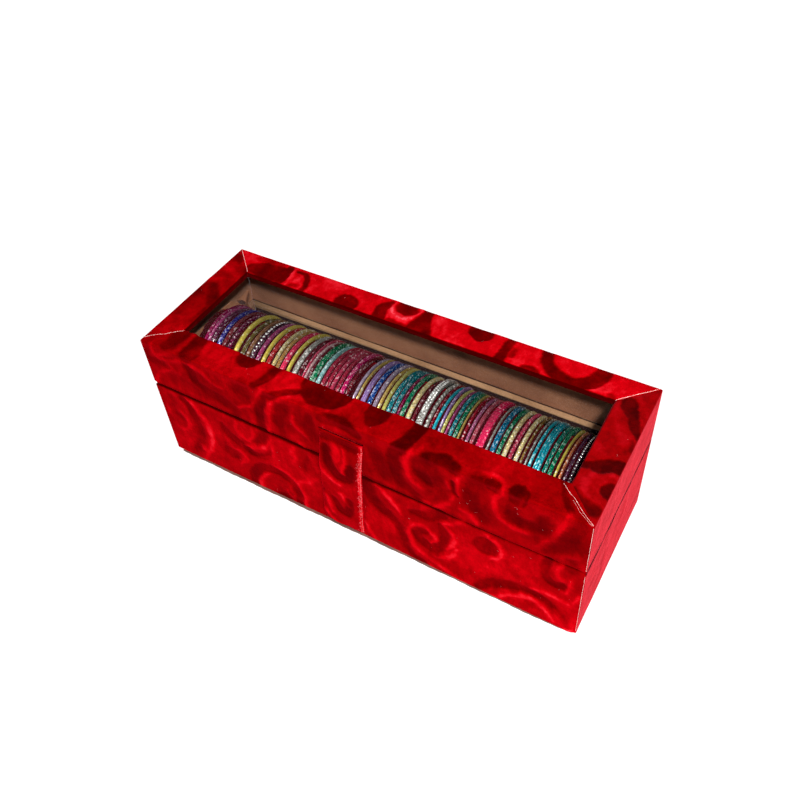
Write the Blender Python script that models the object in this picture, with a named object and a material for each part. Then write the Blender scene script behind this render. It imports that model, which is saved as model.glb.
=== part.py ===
"""A velvet-covered box with a window lid, a cloth hinge, a closing tab and a roll of bangles.

Metres, +Z up. The origin is the middle of the underside. The box runs along X
and its front faces -Y. A section is a list of (depth, height) points, where
depth is measured inwards from the outside of the wall.
"""

import itertools
import math

import bmesh
import bpy
from mathutils import Matrix, Vector

# Outside of the closed box
LENGTH = 0.285
DEPTH = 0.100
HEIGHT = 0.1005
RIM_HEIGHT = 0.061
PARTING_GAP = 0.0004
EDGE_RADIUS = 0.0018
RIM_RADIUS = 0.0008
HEM_RADIUS = 0.0014

# Space between pieces that touch, and the span within which points are one
GAP = 0.0003
MITRE_SETBACK = 0.0002
MERGE = 0.0000003

# Layers of the walls, from the outside in
VELVET = 0.0010
BOARD = 0.0020
LINING = 0.0006
LINER = 0.0050

# Underside
SHEET = 0.0012
SHEET_INSET = 0.0040
SHEET_CORNER = 0.0030
TURN_IN = 0.0140

# Window
FRAME_WIDTH = 0.0195
PANE = 0.0005

# Cloth hinge along the back, and how far it reaches up and down from the rim
HINGE_REACH = 0.0040

# Closing tab on the front
TAB_WIDTH = 0.0275
TAB_THICKNESS = 0.0018
TAB_DROP = 0.0120
TAB_BOTTOM = 0.0050
TAB_ROOT_HEIGHT = 0.0040
TAB_LEAN = 0.0053
TAB_BOW_SHARES = ((0.0, 0.0), (0.06, 0.2), (0.14, 0.6), (0.22, 0.9), (0.3, 1.0), (0.84, 1.0), (0.92, 0.8), (1.0, 0.4))

# Hook and loop patches between the tab and the base
PATCH_WIDTH = 0.0200
PATCH_HEIGHT = 0.0180
PATCH_THICKNESS = 0.0008
PATCH_DROP = 0.0250

# Roll that carries the bangles
ROLL_RADIUS = 0.0225
ROLL_COVER = 0.0012
ROLL_END = 0.0012
ROLL_SEGMENTS = 32
ROLL_CLEARANCE = 0.0004

# Cradles under the ends of the roll
CRADLE = 0.0040
CRADLE_DROP = 0.0044
CRADLE_CORNER = 0.0050
CRADLE_NOTCH_STEPS = 14

# Loose sheet at the left end, with a curled corner
END_SHEET = 0.0005
END_SHEET_HEADROOM = 0.0174
END_SHEET_SIDE_CLEARANCE = 0.0010
CURL_RADIUS = 0.0027
CURL_TURN = math.radians(320.0)
CURL_START = 0.0195
CURL_FULL = 0.0240
CURL_LEAST_SHARE = 0.12
CURL_STEPS = 14
CURL_STATIONS = 8

# Bangles, of Indian size 2.6, which is 2 6/16 inches across the bore
BORE_RADIUS = 0.03015
SEAT_CLEARANCE = 0.0004
HEADROOM_SHARE = 0.32
STACK_START = 0.0155
STACK_PLAY = 0.0037
SET_GAP = 0.0003
BANGLE_SEGMENTS = 24
BANGLE_ROUGHNESS = 0.3
BANGLE_METALLIC = 0.7
THIN_RISE = 0.0030
MEDIUM_RISE = 0.0034
WIDE_RISE = 0.0038
VALLEY_SHARE = 0.45
PEAK_SHARE = 0.5
SHOULDER_SHARE = 0.28

# Widths of thin, medium and wide bangles beside each other, and the order that they hang in
BANGLE_WIDTH_SHARES = {"t": 2.7, "m": 4.0, "w": 7.8}
SET_PATTERNS = (
    "mmtmm", "tmmwt", "mmtmm", "mtmtmt", "tmmmt", "mtmmm", "mmtmt",
    "tmmtm", "wtmmt", "mmtmm", "mtmmt", "tmtmtm", "mmwtt",
)

# Arcs
EDGE_STEPS = 3
RIM_STEPS = 2
PLATE_STEPS = 3

# Depths and heights that follow from the layers
BOARD_DEPTH = VELVET + GAP
INNER_DEPTH = BOARD_DEPTH + BOARD
LINING_DEPTH = INNER_DEPTH + GAP
LID_ROOM_DEPTH = LINING_DEPTH + LINING
BASE_ROOM_DEPTH = LINING_DEPTH + LINER
HEM_HEIGHT = SHEET + GAP
BOTTOM_BOARD_HEIGHT = HEM_HEIGHT + VELVET + GAP
FLOOR_HEIGHT = BOTTOM_BOARD_HEIGHT + BOARD + GAP
LID_RIM_HEIGHT = RIM_HEIGHT + PARTING_GAP
FRAME_TOP = HEIGHT - VELVET - GAP
FRAME_UNDERSIDE = FRAME_TOP - BOARD
PANE_TOP = FRAME_UNDERSIDE - GAP
PANE_UNDERSIDE = PANE_TOP - PANE
FRAME_INNER_DEPTH = FRAME_WIDTH - VELVET - GAP
HINGE_HEIGHT = RIM_HEIGHT + PARTING_GAP / 2
TAB_TOP = HEIGHT - TAB_DROP
PATCH_MIDDLE = RIM_HEIGHT - PATCH_DROP
END_SHEET_BEND_HEIGHT = PANE_UNDERSIDE - END_SHEET_HEADROOM

# The bangles share out the free height between the floor and the window, and the roll hangs in their bores
BANGLE_RADIUS = BORE_RADIUS + WIDE_RISE
SPARE_HEIGHT = PANE_UNDERSIDE - FLOOR_HEIGHT - LINING - 2 * BANGLE_RADIUS
BANGLE_AXIS_HEIGHT = PANE_UNDERSIDE - HEADROOM_SHARE * SPARE_HEIGHT - BANGLE_RADIUS
ROLL_AXIS_HEIGHT = BANGLE_AXIS_HEIGHT + BORE_RADIUS - SEAT_CLEARANCE - ROLL_RADIUS
CRADLE_TOP = ROLL_AXIS_HEIGHT - CRADLE_DROP

# The box's four sides: turn about Z, length along the side, distance across
SIDES = {
    "front": (0.0, LENGTH, DEPTH),
    "right": (0.5 * math.pi, DEPTH, LENGTH),
    "back": (math.pi, LENGTH, DEPTH),
    "left": (1.5 * math.pi, DEPTH, LENGTH),
}

# Colours as (red, green, blue), with roughness, metallic and opacity
VELVET_RED = ((0.52, 0.004, 0.012), 0.85, 0.0, 1.0)
GREYBOARD = ((0.33, 0.27, 0.21), 0.9, 0.0, 1.0)
BEIGE_PAPER = ((0.50, 0.34, 0.21), 0.8, 0.0, 1.0)
BEIGE_CARD = ((0.58, 0.41, 0.27), 0.8, 0.0, 1.0)
BROWN_SHEET = ((0.30, 0.24, 0.20), 0.9, 0.0, 1.0)
CLEAR_FILM = ((0.9, 0.92, 0.93), 0.05, 0.0, 0.12)
DARK_NYLON = ((0.06, 0.01, 0.015), 0.7, 0.0, 1.0)
MAROON_VELVET = ((0.09, 0.006, 0.014), 0.9, 0.0, 1.0)
WADDING = ((0.75, 0.73, 0.68), 0.95, 0.0, 1.0)
BANGLE_COLOURS = (
    (0.42, 0.03, 0.16), (0.75, 0.62, 0.16), (0.62, 0.60, 0.58), (0.72, 0.56, 0.24), (0.50, 0.02, 0.06),
    (0.02, 0.32, 0.20), (0.60, 0.16, 0.26), (0.68, 0.52, 0.28), (0.30, 0.26, 0.50), (0.02, 0.28, 0.30),
    (0.56, 0.56, 0.54), (0.70, 0.06, 0.22), (0.02, 0.42, 0.46),
)


def clear_scene():
    for item in list(bpy.data.objects):
        bpy.data.objects.remove(item, do_unlink=True)


def material(name, look):
    colour, roughness, metallic, opacity = look
    made = bpy.data.materials.get(name)
    if made is None:
        made = bpy.data.materials.new(name)
        made.use_nodes = True
        shader = made.node_tree.nodes["Principled BSDF"]
        shader.inputs["Base Color"].default_value = (*colour, 1.0)
        shader.inputs["Roughness"].default_value = roughness
        shader.inputs["Metallic"].default_value = metallic
        shader.inputs["Alpha"].default_value = opacity
    return made


def finish(name, mesh_data, look_name, look, origin=(0.0, 0.0, 0.0), smooth_angle=None):
    """Close a bmesh into a named object whose origin sits at the given point."""
    bmesh.ops.remove_doubles(mesh_data, verts=mesh_data.verts, dist=MERGE)
    bmesh.ops.dissolve_degenerate(mesh_data, edges=mesh_data.edges, dist=MERGE)
    bmesh.ops.recalc_face_normals(mesh_data, faces=mesh_data.faces)
    bmesh.ops.translate(mesh_data, verts=mesh_data.verts, vec=-Vector(origin))
    mesh = bpy.data.meshes.new(name)
    mesh_data.to_mesh(mesh)
    mesh_data.free()
    if smooth_angle is not None:
        mesh.shade_smooth()
        mesh.set_sharp_from_angle(angle=smooth_angle)
    mesh.materials.append(material(look_name, look))
    made = bpy.data.objects.new(name, mesh)
    made.location = origin
    bpy.context.collection.objects.link(made)
    return made


def arc(centre, radius, start, end, steps):
    """Points along an arc, with its angles in degrees from the first axis."""
    points = []
    for step in range(steps + 1):
        angle = math.radians(start + (end - start) * step / steps)
        points.append((centre[0] + radius * math.cos(angle), centre[1] + radius * math.sin(angle)))
    return points


def corner_place(depth, angle):
    """Where a layer at this depth runs round the box's vertical edge: (setback along the side, depth)."""
    if depth >= EDGE_RADIUS:
        return depth, depth
    radius = EDGE_RADIUS - depth
    return EDGE_RADIUS - radius * math.sin(angle), EDGE_RADIUS - radius * math.cos(angle)


def mitred_bar(name, side, section, look_name, look, steps=EDGE_STEPS, smooth_angle=None):
    """Run a section along one side of the box, rounded at the vertical edges and mitred at its ends."""
    turn, run, across = SIDES[side]
    quarter = math.pi / 4
    stations = [(-1, quarter * (steps - step) / steps) for step in range(steps + 1)]
    stations += [(1, quarter * step / steps) for step in range(steps + 1)]
    made = bmesh.new()
    rings = []
    for end, angle in stations:
        ring = []
        for depth, height in section:
            setback, placed_depth = corner_place(depth, angle)
            along = end * (run / 2 - MITRE_SETBACK - setback)
            point = Vector((along, placed_depth - across / 2, height))
            ring.append(made.verts.new(Matrix.Rotation(turn, 3, "Z") @ point))
        rings.append(ring)
    count = len(section)
    for ring, following in itertools.pairwise(rings):
        for index in range(count):
            after = (index + 1) % count
            made.faces.new((ring[index], ring[after], following[after], following[index]))
    made.faces.new(rings[0])
    made.faces.new(rings[-1])
    return finish(name, made, look_name, look, smooth_angle=smooth_angle)


def extruded(name, outline, axis, start, end, look_name, look):
    """Push a closed outline along X, Y or Z. The outline lies on the two other axes, in their order."""
    made = bmesh.new()
    others = [index for index in range(3) if index != axis]
    verts = []
    for first, second in outline:
        point = Vector((0.0, 0.0, 0.0))
        point[axis] = start
        point[others[0]] = first
        point[others[1]] = second
        verts.append(made.verts.new(point))
    face = made.faces.new(verts)
    pushed = bmesh.ops.extrude_face_region(made, geom=[face])
    moved = [item for item in pushed["geom"] if isinstance(item, bmesh.types.BMVert)]
    travel = Vector((0.0, 0.0, 0.0))
    travel[axis] = end - start
    bmesh.ops.translate(made, verts=moved, vec=travel)
    return finish(name, made, look_name, look)


def plate(name, depth, bottom, top, corner_radius, look_name, look):
    """A flat plate in the box's plan, set in from the outside by a depth."""
    half_x = LENGTH / 2 - depth
    half_y = DEPTH / 2 - depth
    radius = max(corner_radius, 0.0)
    outline = []
    for turn, (sign_x, sign_y) in enumerate(((1, 1), (-1, 1), (-1, -1), (1, -1))):
        centre = (sign_x * (half_x - radius), sign_y * (half_y - radius))
        if radius > 0:
            outline += arc(centre, radius, 90 * turn, 90 * turn + 90, PLATE_STEPS)
        else:
            outline.append(centre)
    return extruded(name, outline, 2, bottom, top, look_name, look)


def turned(name, profile, axis_height, segments, look_name, look, closed):
    """Turn a profile of (x, radius) points about an axis along X."""
    made = bmesh.new()
    verts = [made.verts.new((along, 0.0, axis_height + radius)) for along, radius in profile]
    edges = [made.edges.new(pair) for pair in itertools.pairwise(verts)]
    if closed:
        edges.append(made.edges.new((verts[-1], verts[0])))
    bmesh.ops.spin(
        made, geom=verts + edges, cent=(0.0, 0.0, axis_height), axis=(1.0, 0.0, 0.0),
        angle=2 * math.pi, steps=segments, use_merge=True, use_duplicate=False,
    )
    return finish(name, made, look_name, look, (0.0, 0.0, axis_height), math.radians(50))


def rectangle(depth, inner_depth, bottom, top):
    return [(depth, bottom), (inner_depth, bottom), (inner_depth, top), (depth, top)]


def base_velvet_section(side):
    """Velvet of the base: turned in under the bottom board and over the rim, except at the hinge."""
    hem = arc((HEM_RADIUS, HEM_HEIGHT + HEM_RADIUS), HEM_RADIUS, 180, 270, EDGE_STEPS)
    under = [(TURN_IN, HEM_HEIGHT), (TURN_IN, HEM_HEIGHT + VELVET), (VELVET, HEM_HEIGHT + VELVET)]
    if side == "back":
        top = RIM_HEIGHT - HINGE_REACH - GAP
        return [(0.0, top)] + hem + under + [(VELVET, top)]
    rim = arc((RIM_RADIUS, RIM_HEIGHT - RIM_RADIUS), RIM_RADIUS, 90, 180, RIM_STEPS)
    turned_over = [(VELVET, RIM_HEIGHT - VELVET), (INNER_DEPTH, RIM_HEIGHT - VELVET), (INNER_DEPTH, RIM_HEIGHT)]
    return rim + hem + under + turned_over


def lid_velvet_section(side):
    """Velvet of the lid: from the rim over the top edge and down round the window's edge."""
    top_edge = arc((EDGE_RADIUS, HEIGHT - EDGE_RADIUS), EDGE_RADIUS, 180, 90, EDGE_STEPS)
    window_edge = arc((FRAME_WIDTH - RIM_RADIUS, HEIGHT - RIM_RADIUS), RIM_RADIUS, 90, 0, RIM_STEPS)
    inside = FRAME_WIDTH - VELVET
    tucked = [(FRAME_WIDTH, FRAME_UNDERSIDE), (inside, FRAME_UNDERSIDE), (inside, HEIGHT - VELVET)]
    inner_radius = max(EDGE_RADIUS - VELVET, 0.0)
    back_of_edge = arc((VELVET + inner_radius, HEIGHT - VELVET - inner_radius), inner_radius, 90, 180, EDGE_STEPS)
    if side == "back":
        bottom = LID_RIM_HEIGHT + HINGE_REACH + GAP
        return [(0.0, bottom)] + top_edge + window_edge + tucked + back_of_edge + [(VELVET, bottom)]
    rim = arc((RIM_RADIUS, LID_RIM_HEIGHT + RIM_RADIUS), RIM_RADIUS, 270, 180, RIM_STEPS)
    above = LID_RIM_HEIGHT + VELVET
    turned_under = [(VELVET, above), (INNER_DEPTH, above), (INNER_DEPTH, LID_RIM_HEIGHT)]
    return rim + top_edge + window_edge + tucked + back_of_edge + turned_under


def frame_board_section():
    radius = max(EDGE_RADIUS - BOARD_DEPTH, 0.0)
    top_edge = arc((BOARD_DEPTH + radius, FRAME_TOP - radius), radius, 180, 90, RIM_STEPS)
    return top_edge + [(FRAME_INNER_DEPTH, FRAME_TOP), (FRAME_INNER_DEPTH, FRAME_UNDERSIDE), (BOARD_DEPTH, FRAME_UNDERSIDE)]


def build_base():
    plate("bottom_sheet", SHEET_INSET, 0.0, SHEET, SHEET_CORNER, "brown_sheet", BROWN_SHEET)
    board_corner = EDGE_RADIUS - BOARD_DEPTH
    board_top = BOTTOM_BOARD_HEIGHT + BOARD
    plate("bottom_board", BOARD_DEPTH, BOTTOM_BOARD_HEIGHT, board_top, board_corner, "greyboard", GREYBOARD)
    plate("floor_lining", BASE_ROOM_DEPTH + GAP, FLOOR_HEIGHT, FLOOR_HEIGHT + LINING, 0.0, "beige_paper", BEIGE_PAPER)
    for side in SIDES:
        board_rim = RIM_HEIGHT if side == "back" else RIM_HEIGHT - VELVET - GAP
        board = rectangle(BOARD_DEPTH, INNER_DEPTH, FLOOR_HEIGHT, board_rim)
        mitred_bar("base_board_" + side, side, board, "greyboard", GREYBOARD, RIM_STEPS)
        liner = rectangle(LINING_DEPTH, BASE_ROOM_DEPTH, FLOOR_HEIGHT, RIM_HEIGHT)
        mitred_bar("base_liner_" + side, side, liner, "beige_card", BEIGE_CARD, 1)
        velvet = base_velvet_section(side)
        mitred_bar("base_velvet_" + side, side, velvet, "velvet_red", VELVET_RED, EDGE_STEPS, math.radians(40))


def build_lid():
    for side in SIDES:
        board_rim = LID_RIM_HEIGHT if side == "back" else LID_RIM_HEIGHT + VELVET + GAP
        board = rectangle(BOARD_DEPTH, INNER_DEPTH, board_rim, FRAME_UNDERSIDE - GAP)
        mitred_bar("lid_board_" + side, side, board, "greyboard", GREYBOARD, RIM_STEPS)
        mitred_bar("frame_board_" + side, side, frame_board_section(), "greyboard", GREYBOARD, RIM_STEPS)
        lining = rectangle(LINING_DEPTH, LID_ROOM_DEPTH, LID_RIM_HEIGHT, PANE_UNDERSIDE - GAP)
        mitred_bar("lid_lining_" + side, side, lining, "beige_paper", BEIGE_PAPER, 1)
        velvet = lid_velvet_section(side)
        mitred_bar("lid_velvet_" + side, side, velvet, "velvet_red", VELVET_RED, EDGE_STEPS, math.radians(40))
    plate("window_pane", LINING_DEPTH, PANE_UNDERSIDE, PANE_TOP, 0.0, "clear_film", CLEAR_FILM)


def build_hinge():
    cloth = rectangle(0.0, VELVET, RIM_HEIGHT - HINGE_REACH, LID_RIM_HEIGHT + HINGE_REACH)
    mitred_bar("hinge_cloth", "back", cloth, "velvet_red", VELVET_RED)


def tab_sheet(name, shares, origin):
    """Part of the closing tab. Each share is (way down the free length, share of the bow)."""
    length = TAB_TOP - TAB_ROOT_HEIGHT - TAB_BOTTOM
    bow = 2 * (PATCH_THICKNESS + GAP)
    made = bmesh.new()
    rings = []
    for down_share, bow_share in shares:
        back = -DEPTH / 2 - GAP - bow * bow_share
        height = TAB_TOP - TAB_ROOT_HEIGHT - length * down_share
        middle = -TAB_LEAN * down_share
        left = middle - TAB_WIDTH / 2
        right = middle + TAB_WIDTH / 2
        front = back - TAB_THICKNESS
        corners = ((left, back), (right, back), (right, front), (left, front))
        rings.append([made.verts.new((x, y, height)) for x, y in corners])
    for ring, following in itertools.pairwise(rings):
        for index in range(4):
            after = (index + 1) % 4
            made.faces.new((ring[index], ring[after], following[after], following[index]))
    made.faces.new(rings[0])
    made.faces.new(rings[-1])
    return finish(name, made, "velvet_red", VELVET_RED, origin, math.radians(30))


def build_tab():
    free_length = TAB_TOP - TAB_ROOT_HEIGHT - TAB_BOTTOM
    hinge_share = GAP / free_length
    fold = (0.0, -DEPTH / 2 - GAP - TAB_THICKNESS, TAB_TOP - TAB_ROOT_HEIGHT)
    root_share = TAB_ROOT_HEIGHT / free_length
    tab_sheet("tab_root", ((-root_share, 0.0), (0.0, 0.0)), (0.0, 0.0, 0.0))
    free_shares = ((hinge_share, 0.0),) + TAB_BOW_SHARES[1:]
    tab_sheet("closure_tab", free_shares, fold)
    middle = -TAB_LEAN * (fold[2] - PATCH_MIDDLE) / free_length
    outline = []
    for sign_x, sign_z in ((-1, -1), (1, -1), (1, 1), (-1, 1)):
        outline.append((middle + sign_x * PATCH_WIDTH / 2, PATCH_MIDDLE + sign_z * PATCH_HEIGHT / 2))
    hook_back = -DEPTH / 2 - GAP
    loop_back = hook_back - PATCH_THICKNESS - GAP
    extruded("hook_patch", outline, 1, hook_back, hook_back - PATCH_THICKNESS, "dark_nylon", DARK_NYLON)
    extruded("loop_patch", outline, 1, loop_back, loop_back - PATCH_THICKNESS, "dark_nylon", DARK_NYLON)


def build_cradles():
    """Two upright plates across the base, each with a round notch that the roll's end lies in."""
    half_width = DEPTH / 2 - BASE_ROOM_DEPTH - GAP
    bottom = FLOOR_HEIGHT + LINING + GAP
    notch_radius = ROLL_RADIUS + ROLL_CLEARANCE
    drop = math.degrees(math.asin((ROLL_AXIS_HEIGHT - CRADLE_TOP) / notch_radius))
    centre = (0.0, ROLL_AXIS_HEIGHT)
    corner_height = CRADLE_TOP - CRADLE_CORNER
    corner_width = half_width - CRADLE_CORNER
    outline = [(-half_width, bottom), (half_width, bottom)]
    outline += arc((corner_width, corner_height), CRADLE_CORNER, 0, 90, PLATE_STEPS)
    outline += arc(centre, notch_radius, -drop, drop - 180, CRADLE_NOTCH_STEPS)
    outline += arc((-corner_width, corner_height), CRADLE_CORNER, 90, 180, PLATE_STEPS)
    outer = LENGTH / 2 - cradle_depth()
    extruded("cradle_left", outline, 0, -outer, -outer + CRADLE, "beige_card", BEIGE_CARD)
    extruded("cradle_right", outline, 0, outer - CRADLE, outer, "beige_card", BEIGE_CARD)


def cradle_depth():
    """How far a cradle's outer face lies from the end of the box."""
    return BASE_ROOM_DEPTH + GAP + END_SHEET + GAP


def curl_point(along, bend):
    """A point this far along a strip that leaves upwards and bends inwards at a steady rate."""
    if bend == 0:
        return 0.0, along
    return (1 - math.cos(bend * along)) / bend, math.sin(bend * along) / bend


def build_end_sheet():
    """A loose lining sheet between the left liner and the cradle, its back top corner rolled inwards."""
    bottom = FLOOR_HEIGHT + LINING + GAP
    front = -(DEPTH / 2 - BASE_ROOM_DEPTH - END_SHEET_SIDE_CLEARANCE)
    back = -front
    middle = -LENGTH / 2 + BASE_ROOM_DEPTH + GAP + END_SHEET / 2
    places = [front, (front + CURL_START) / 2]
    for step in range(CURL_STATIONS + 1):
        places.append(CURL_START + (CURL_FULL - CURL_START) * step / CURL_STATIONS)
    places.append(back)
    made = bmesh.new()
    rows = []
    for place in places:
        share = min(max((place - CURL_START) / (CURL_FULL - CURL_START), 0.0), 1.0)
        eased = share * share * (3 - 2 * share)
        free_length = CURL_RADIUS * CURL_TURN * (CURL_LEAST_SHARE + (1 - CURL_LEAST_SHARE) * eased)
        row = [made.verts.new((middle, place, bottom))]
        for step in range(CURL_STEPS + 1):
            along = free_length * step / CURL_STEPS
            x, z = curl_point(along, CURL_TURN * eased / free_length)
            row.append(made.verts.new((middle + x, place, END_SHEET_BEND_HEIGHT + z)))
        rows.append(row)
    for row, following in itertools.pairwise(rows):
        for index in range(len(row) - 1):
            made.faces.new((row[index], row[index + 1], following[index + 1], following[index]))
    sheet = finish("end_sheet", made, "beige_paper", BEIGE_PAPER, smooth_angle=math.radians(50))
    thicken = sheet.modifiers.new("thickness", "SOLIDIFY")
    thicken.thickness = END_SHEET
    thicken.offset = 0.0


def build_roll():
    half = LENGTH / 2 - cradle_depth()
    core_end = half - ROLL_END - GAP
    core_radius = ROLL_RADIUS - ROLL_COVER - GAP
    cover_radius = ROLL_RADIUS - ROLL_COVER
    core = ((-core_end, 0.0), (-core_end, core_radius), (core_end, core_radius), (core_end, 0.0))
    cover = ((-core_end, cover_radius), (-core_end, ROLL_RADIUS), (core_end, ROLL_RADIUS), (core_end, cover_radius))
    turned("roll_core", core, ROLL_AXIS_HEIGHT, ROLL_SEGMENTS, "wadding", WADDING, False)
    turned("roll_cover", cover, ROLL_AXIS_HEIGHT, ROLL_SEGMENTS, "maroon_velvet", MAROON_VELVET, True)
    for name, sign in (("roll_end_left", -1), ("roll_end_right", 1)):
        inner = sign * (core_end + GAP)
        outer = sign * half
        disc = ((inner, 0.0), (inner, ROLL_RADIUS), (outer, ROLL_RADIUS), (outer, 0.0))
        turned(name, disc, ROLL_AXIS_HEIGHT, ROLL_SEGMENTS, "maroon_velvet", MAROON_VELVET, False)


def bangle_profile(pattern, left, unit):
    """Section of bangles pressed side by side, as (x, radius) points from left to right and back."""
    shapes = {
        "t": (THIN_RISE, (PEAK_SHARE,)),
        "m": (MEDIUM_RISE, (SHOULDER_SHARE, 1 - SHOULDER_SHARE)),
        "w": (WIDE_RISE, (SHOULDER_SHARE / 2, 1 - SHOULDER_SHARE / 2)),
    }
    profile = [(left, BORE_RADIUS)]
    place = left
    valley = BORE_RADIUS + THIN_RISE * VALLEY_SHARE
    for kind in pattern:
        width = BANGLE_WIDTH_SHARES[kind] * unit
        rise, crest_shares = shapes[kind]
        profile.append((place, valley))
        for crest_share in crest_shares:
            profile.append((place + width * crest_share, BORE_RADIUS + rise))
        place += width
    profile.append((place, valley))
    profile.append((place, BORE_RADIUS))
    return profile, place


def build_bangles():
    """Sets of bangles along the roll, which fill the length between the cradles apart from a little play."""
    left = -LENGTH / 2 + STACK_START
    right_limit = LENGTH / 2 - cradle_depth() - CRADLE - GAP
    stack_length = right_limit - STACK_PLAY - left - SET_GAP * (len(SET_PATTERNS) - 1)
    unit = stack_length / sum(BANGLE_WIDTH_SHARES[kind] for kind in "".join(SET_PATTERNS))
    for number, (pattern, colour) in enumerate(zip(SET_PATTERNS, BANGLE_COLOURS, strict=True), 1):
        profile, right = bangle_profile(pattern, left, unit)
        name = f"bangle_set_{number:02d}"
        look = (colour, BANGLE_ROUGHNESS, BANGLE_METALLIC, 1.0)
        turned(name, profile, BANGLE_AXIS_HEIGHT, BANGLE_SEGMENTS, name, look, True)
        left = right + SET_GAP


def main():
    clear_scene()
    build_base()
    build_lid()
    build_hinge()
    build_tab()
    build_cradles()
    build_end_sheet()
    build_roll()
    build_bangles()


main()
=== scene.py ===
"""Looks of the velvet bangle box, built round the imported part.

Metres, +Z up, in the part's own frame: the origin is the middle of the underside
and the box fronts -Y. Lists of motifs, threads and bangles are in millimetres,
measured from the box's front left bottom corner.
"""

import itertools
import math
import random

import bmesh
import bpy
import numpy as np
from mathutils import Matrix, Vector


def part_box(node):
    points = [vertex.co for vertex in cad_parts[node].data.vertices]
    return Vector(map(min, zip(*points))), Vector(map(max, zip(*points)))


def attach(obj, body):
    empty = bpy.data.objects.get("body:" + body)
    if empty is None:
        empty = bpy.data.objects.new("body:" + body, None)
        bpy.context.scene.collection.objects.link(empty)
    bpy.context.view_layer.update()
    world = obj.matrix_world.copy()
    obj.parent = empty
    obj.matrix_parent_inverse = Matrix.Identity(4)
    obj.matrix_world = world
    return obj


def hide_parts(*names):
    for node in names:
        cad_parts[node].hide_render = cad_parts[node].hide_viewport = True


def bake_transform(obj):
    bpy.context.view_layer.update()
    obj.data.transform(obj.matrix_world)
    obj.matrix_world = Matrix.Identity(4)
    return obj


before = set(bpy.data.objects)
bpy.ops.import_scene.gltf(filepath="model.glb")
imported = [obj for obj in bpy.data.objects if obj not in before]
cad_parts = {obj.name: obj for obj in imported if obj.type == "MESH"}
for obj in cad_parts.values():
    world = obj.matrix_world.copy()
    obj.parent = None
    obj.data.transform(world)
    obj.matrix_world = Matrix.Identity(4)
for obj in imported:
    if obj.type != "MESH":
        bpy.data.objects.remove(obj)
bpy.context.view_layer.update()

MM = 0.001
LATTICE = 97

# The part's own sizes
LENGTH = 0.285
DEPTH = 0.100
HEIGHT = 0.1005
RIM_HEIGHT = 0.061
LID_RIM_HEIGHT = 0.0614
GAP = 0.0003
VELVET = 0.0010
INNER_DEPTH = 0.0033
HEM_HEIGHT = 0.0015
TURN_IN = 0.0140
FRAME_WIDTH = 0.0195
FRAME_UNDERSIDE = 0.0972
HINGE_REACH = 0.0040
HINGE_HEIGHT = 0.0612
END_SHEET = 0.0005
ROLL_RADIUS = 0.0225
ROLL_AXIS_HEIGHT = 0.0624
BORE_RADIUS = 0.03015
BANGLE_AXIS_HEIGHT = 0.05515

# Velvet in the scene, in metres: the radius of its edges, the mesh spacing and the depth of the emboss
RIM_ROUND = 0.0009
WINDOW_ROUND = 0.0010
CORNER_ROUND = 0.0006
TOP_ROUND = 0.0011
HEM_ROUND = 0.0006
SEAM_SETBACK = 0.00002
SPACING = 0.00078
PRESSED_DEPTH = 0.00050
RIM_RAISE = 0.00060
SWELL = 0.00024
LID_BULGE = 0.00035
HEM_SWELL = 0.0009

# Room for the back's relief as the lid swings, as a share of the distance from the hinge
HINGE_CLEARANCE = 0.034

# Heights beyond which the box is straight, however the parting line runs
STRAIGHT_ABOVE = HEIGHT - 0.002
STRAIGHT_BELOW = 0.004

# Velvet panels: steps round a corner, where the relief fades at an end, and the lowest point
CORNER_STEPS = 4
END_FADE = 0.0025
LOWEST = 0.0001

# Slices that let a fitted board follow the parting line, along the box and across it
CUTS_ALONG = 36
CUTS_ACROSS = 12

# Points closer than this are one, and a joined piece is smooth up to this angle in degrees
MERGE = 2e-7
JOINED_ANGLE = 60

# Motifs of the front, read in mm, and where the other walls read them
LENGTH_MM = 285.0
LEFT_SHIFT = 6.0
RIGHT_SHIFT = 176.0

# Seeds of the random patterns
SEED_STEP = 7
FIRST_SEED = 10
TOP_SEED = 5
TAB_SEED = 71
TAB_EDGE_SEED = 40
SLIT_SEED = 53
MITRE_SEED = 60
CORNER_SEED = 81
BANGLE_SEED = 11

# The box's four sides: turn about Z, length along the side, distance across
SIDES = {
    "front": (0.0, LENGTH, DEPTH),
    "right": (0.5 * math.pi, DEPTH, LENGTH),
    "back": (math.pi, LENGTH, DEPTH),
    "left": (1.5 * math.pi, DEPTH, LENGTH),
}

# Along the front, as (x, value) in mm: how far the parting line runs above its mean height, how far it
# stands open, how far the hem droops, and the share of the painted shade that is drawn along the parting
PARTING_RISE = (
    (0, 2.8), (60, 2.5), (87, 2.1), (123, 1.5), (154, -1.6), (203, -1.6), (235, -2.0), (285, -1.2),
)
HEM_DROOP = ((0, 0.45), (150, 0.50), (230, 0.75), (285, 1.00))
PARTING_OPENING = ((0, 0.95), (60, 0.9), (120, 0.75), (150, 0.5), (205, 0.15), (285, 0.05))
PARTING_SHADE = ((0, 1.0), (190, 1.0), (230, 0.7), (258, 0.4), (285, 0.1))
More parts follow.
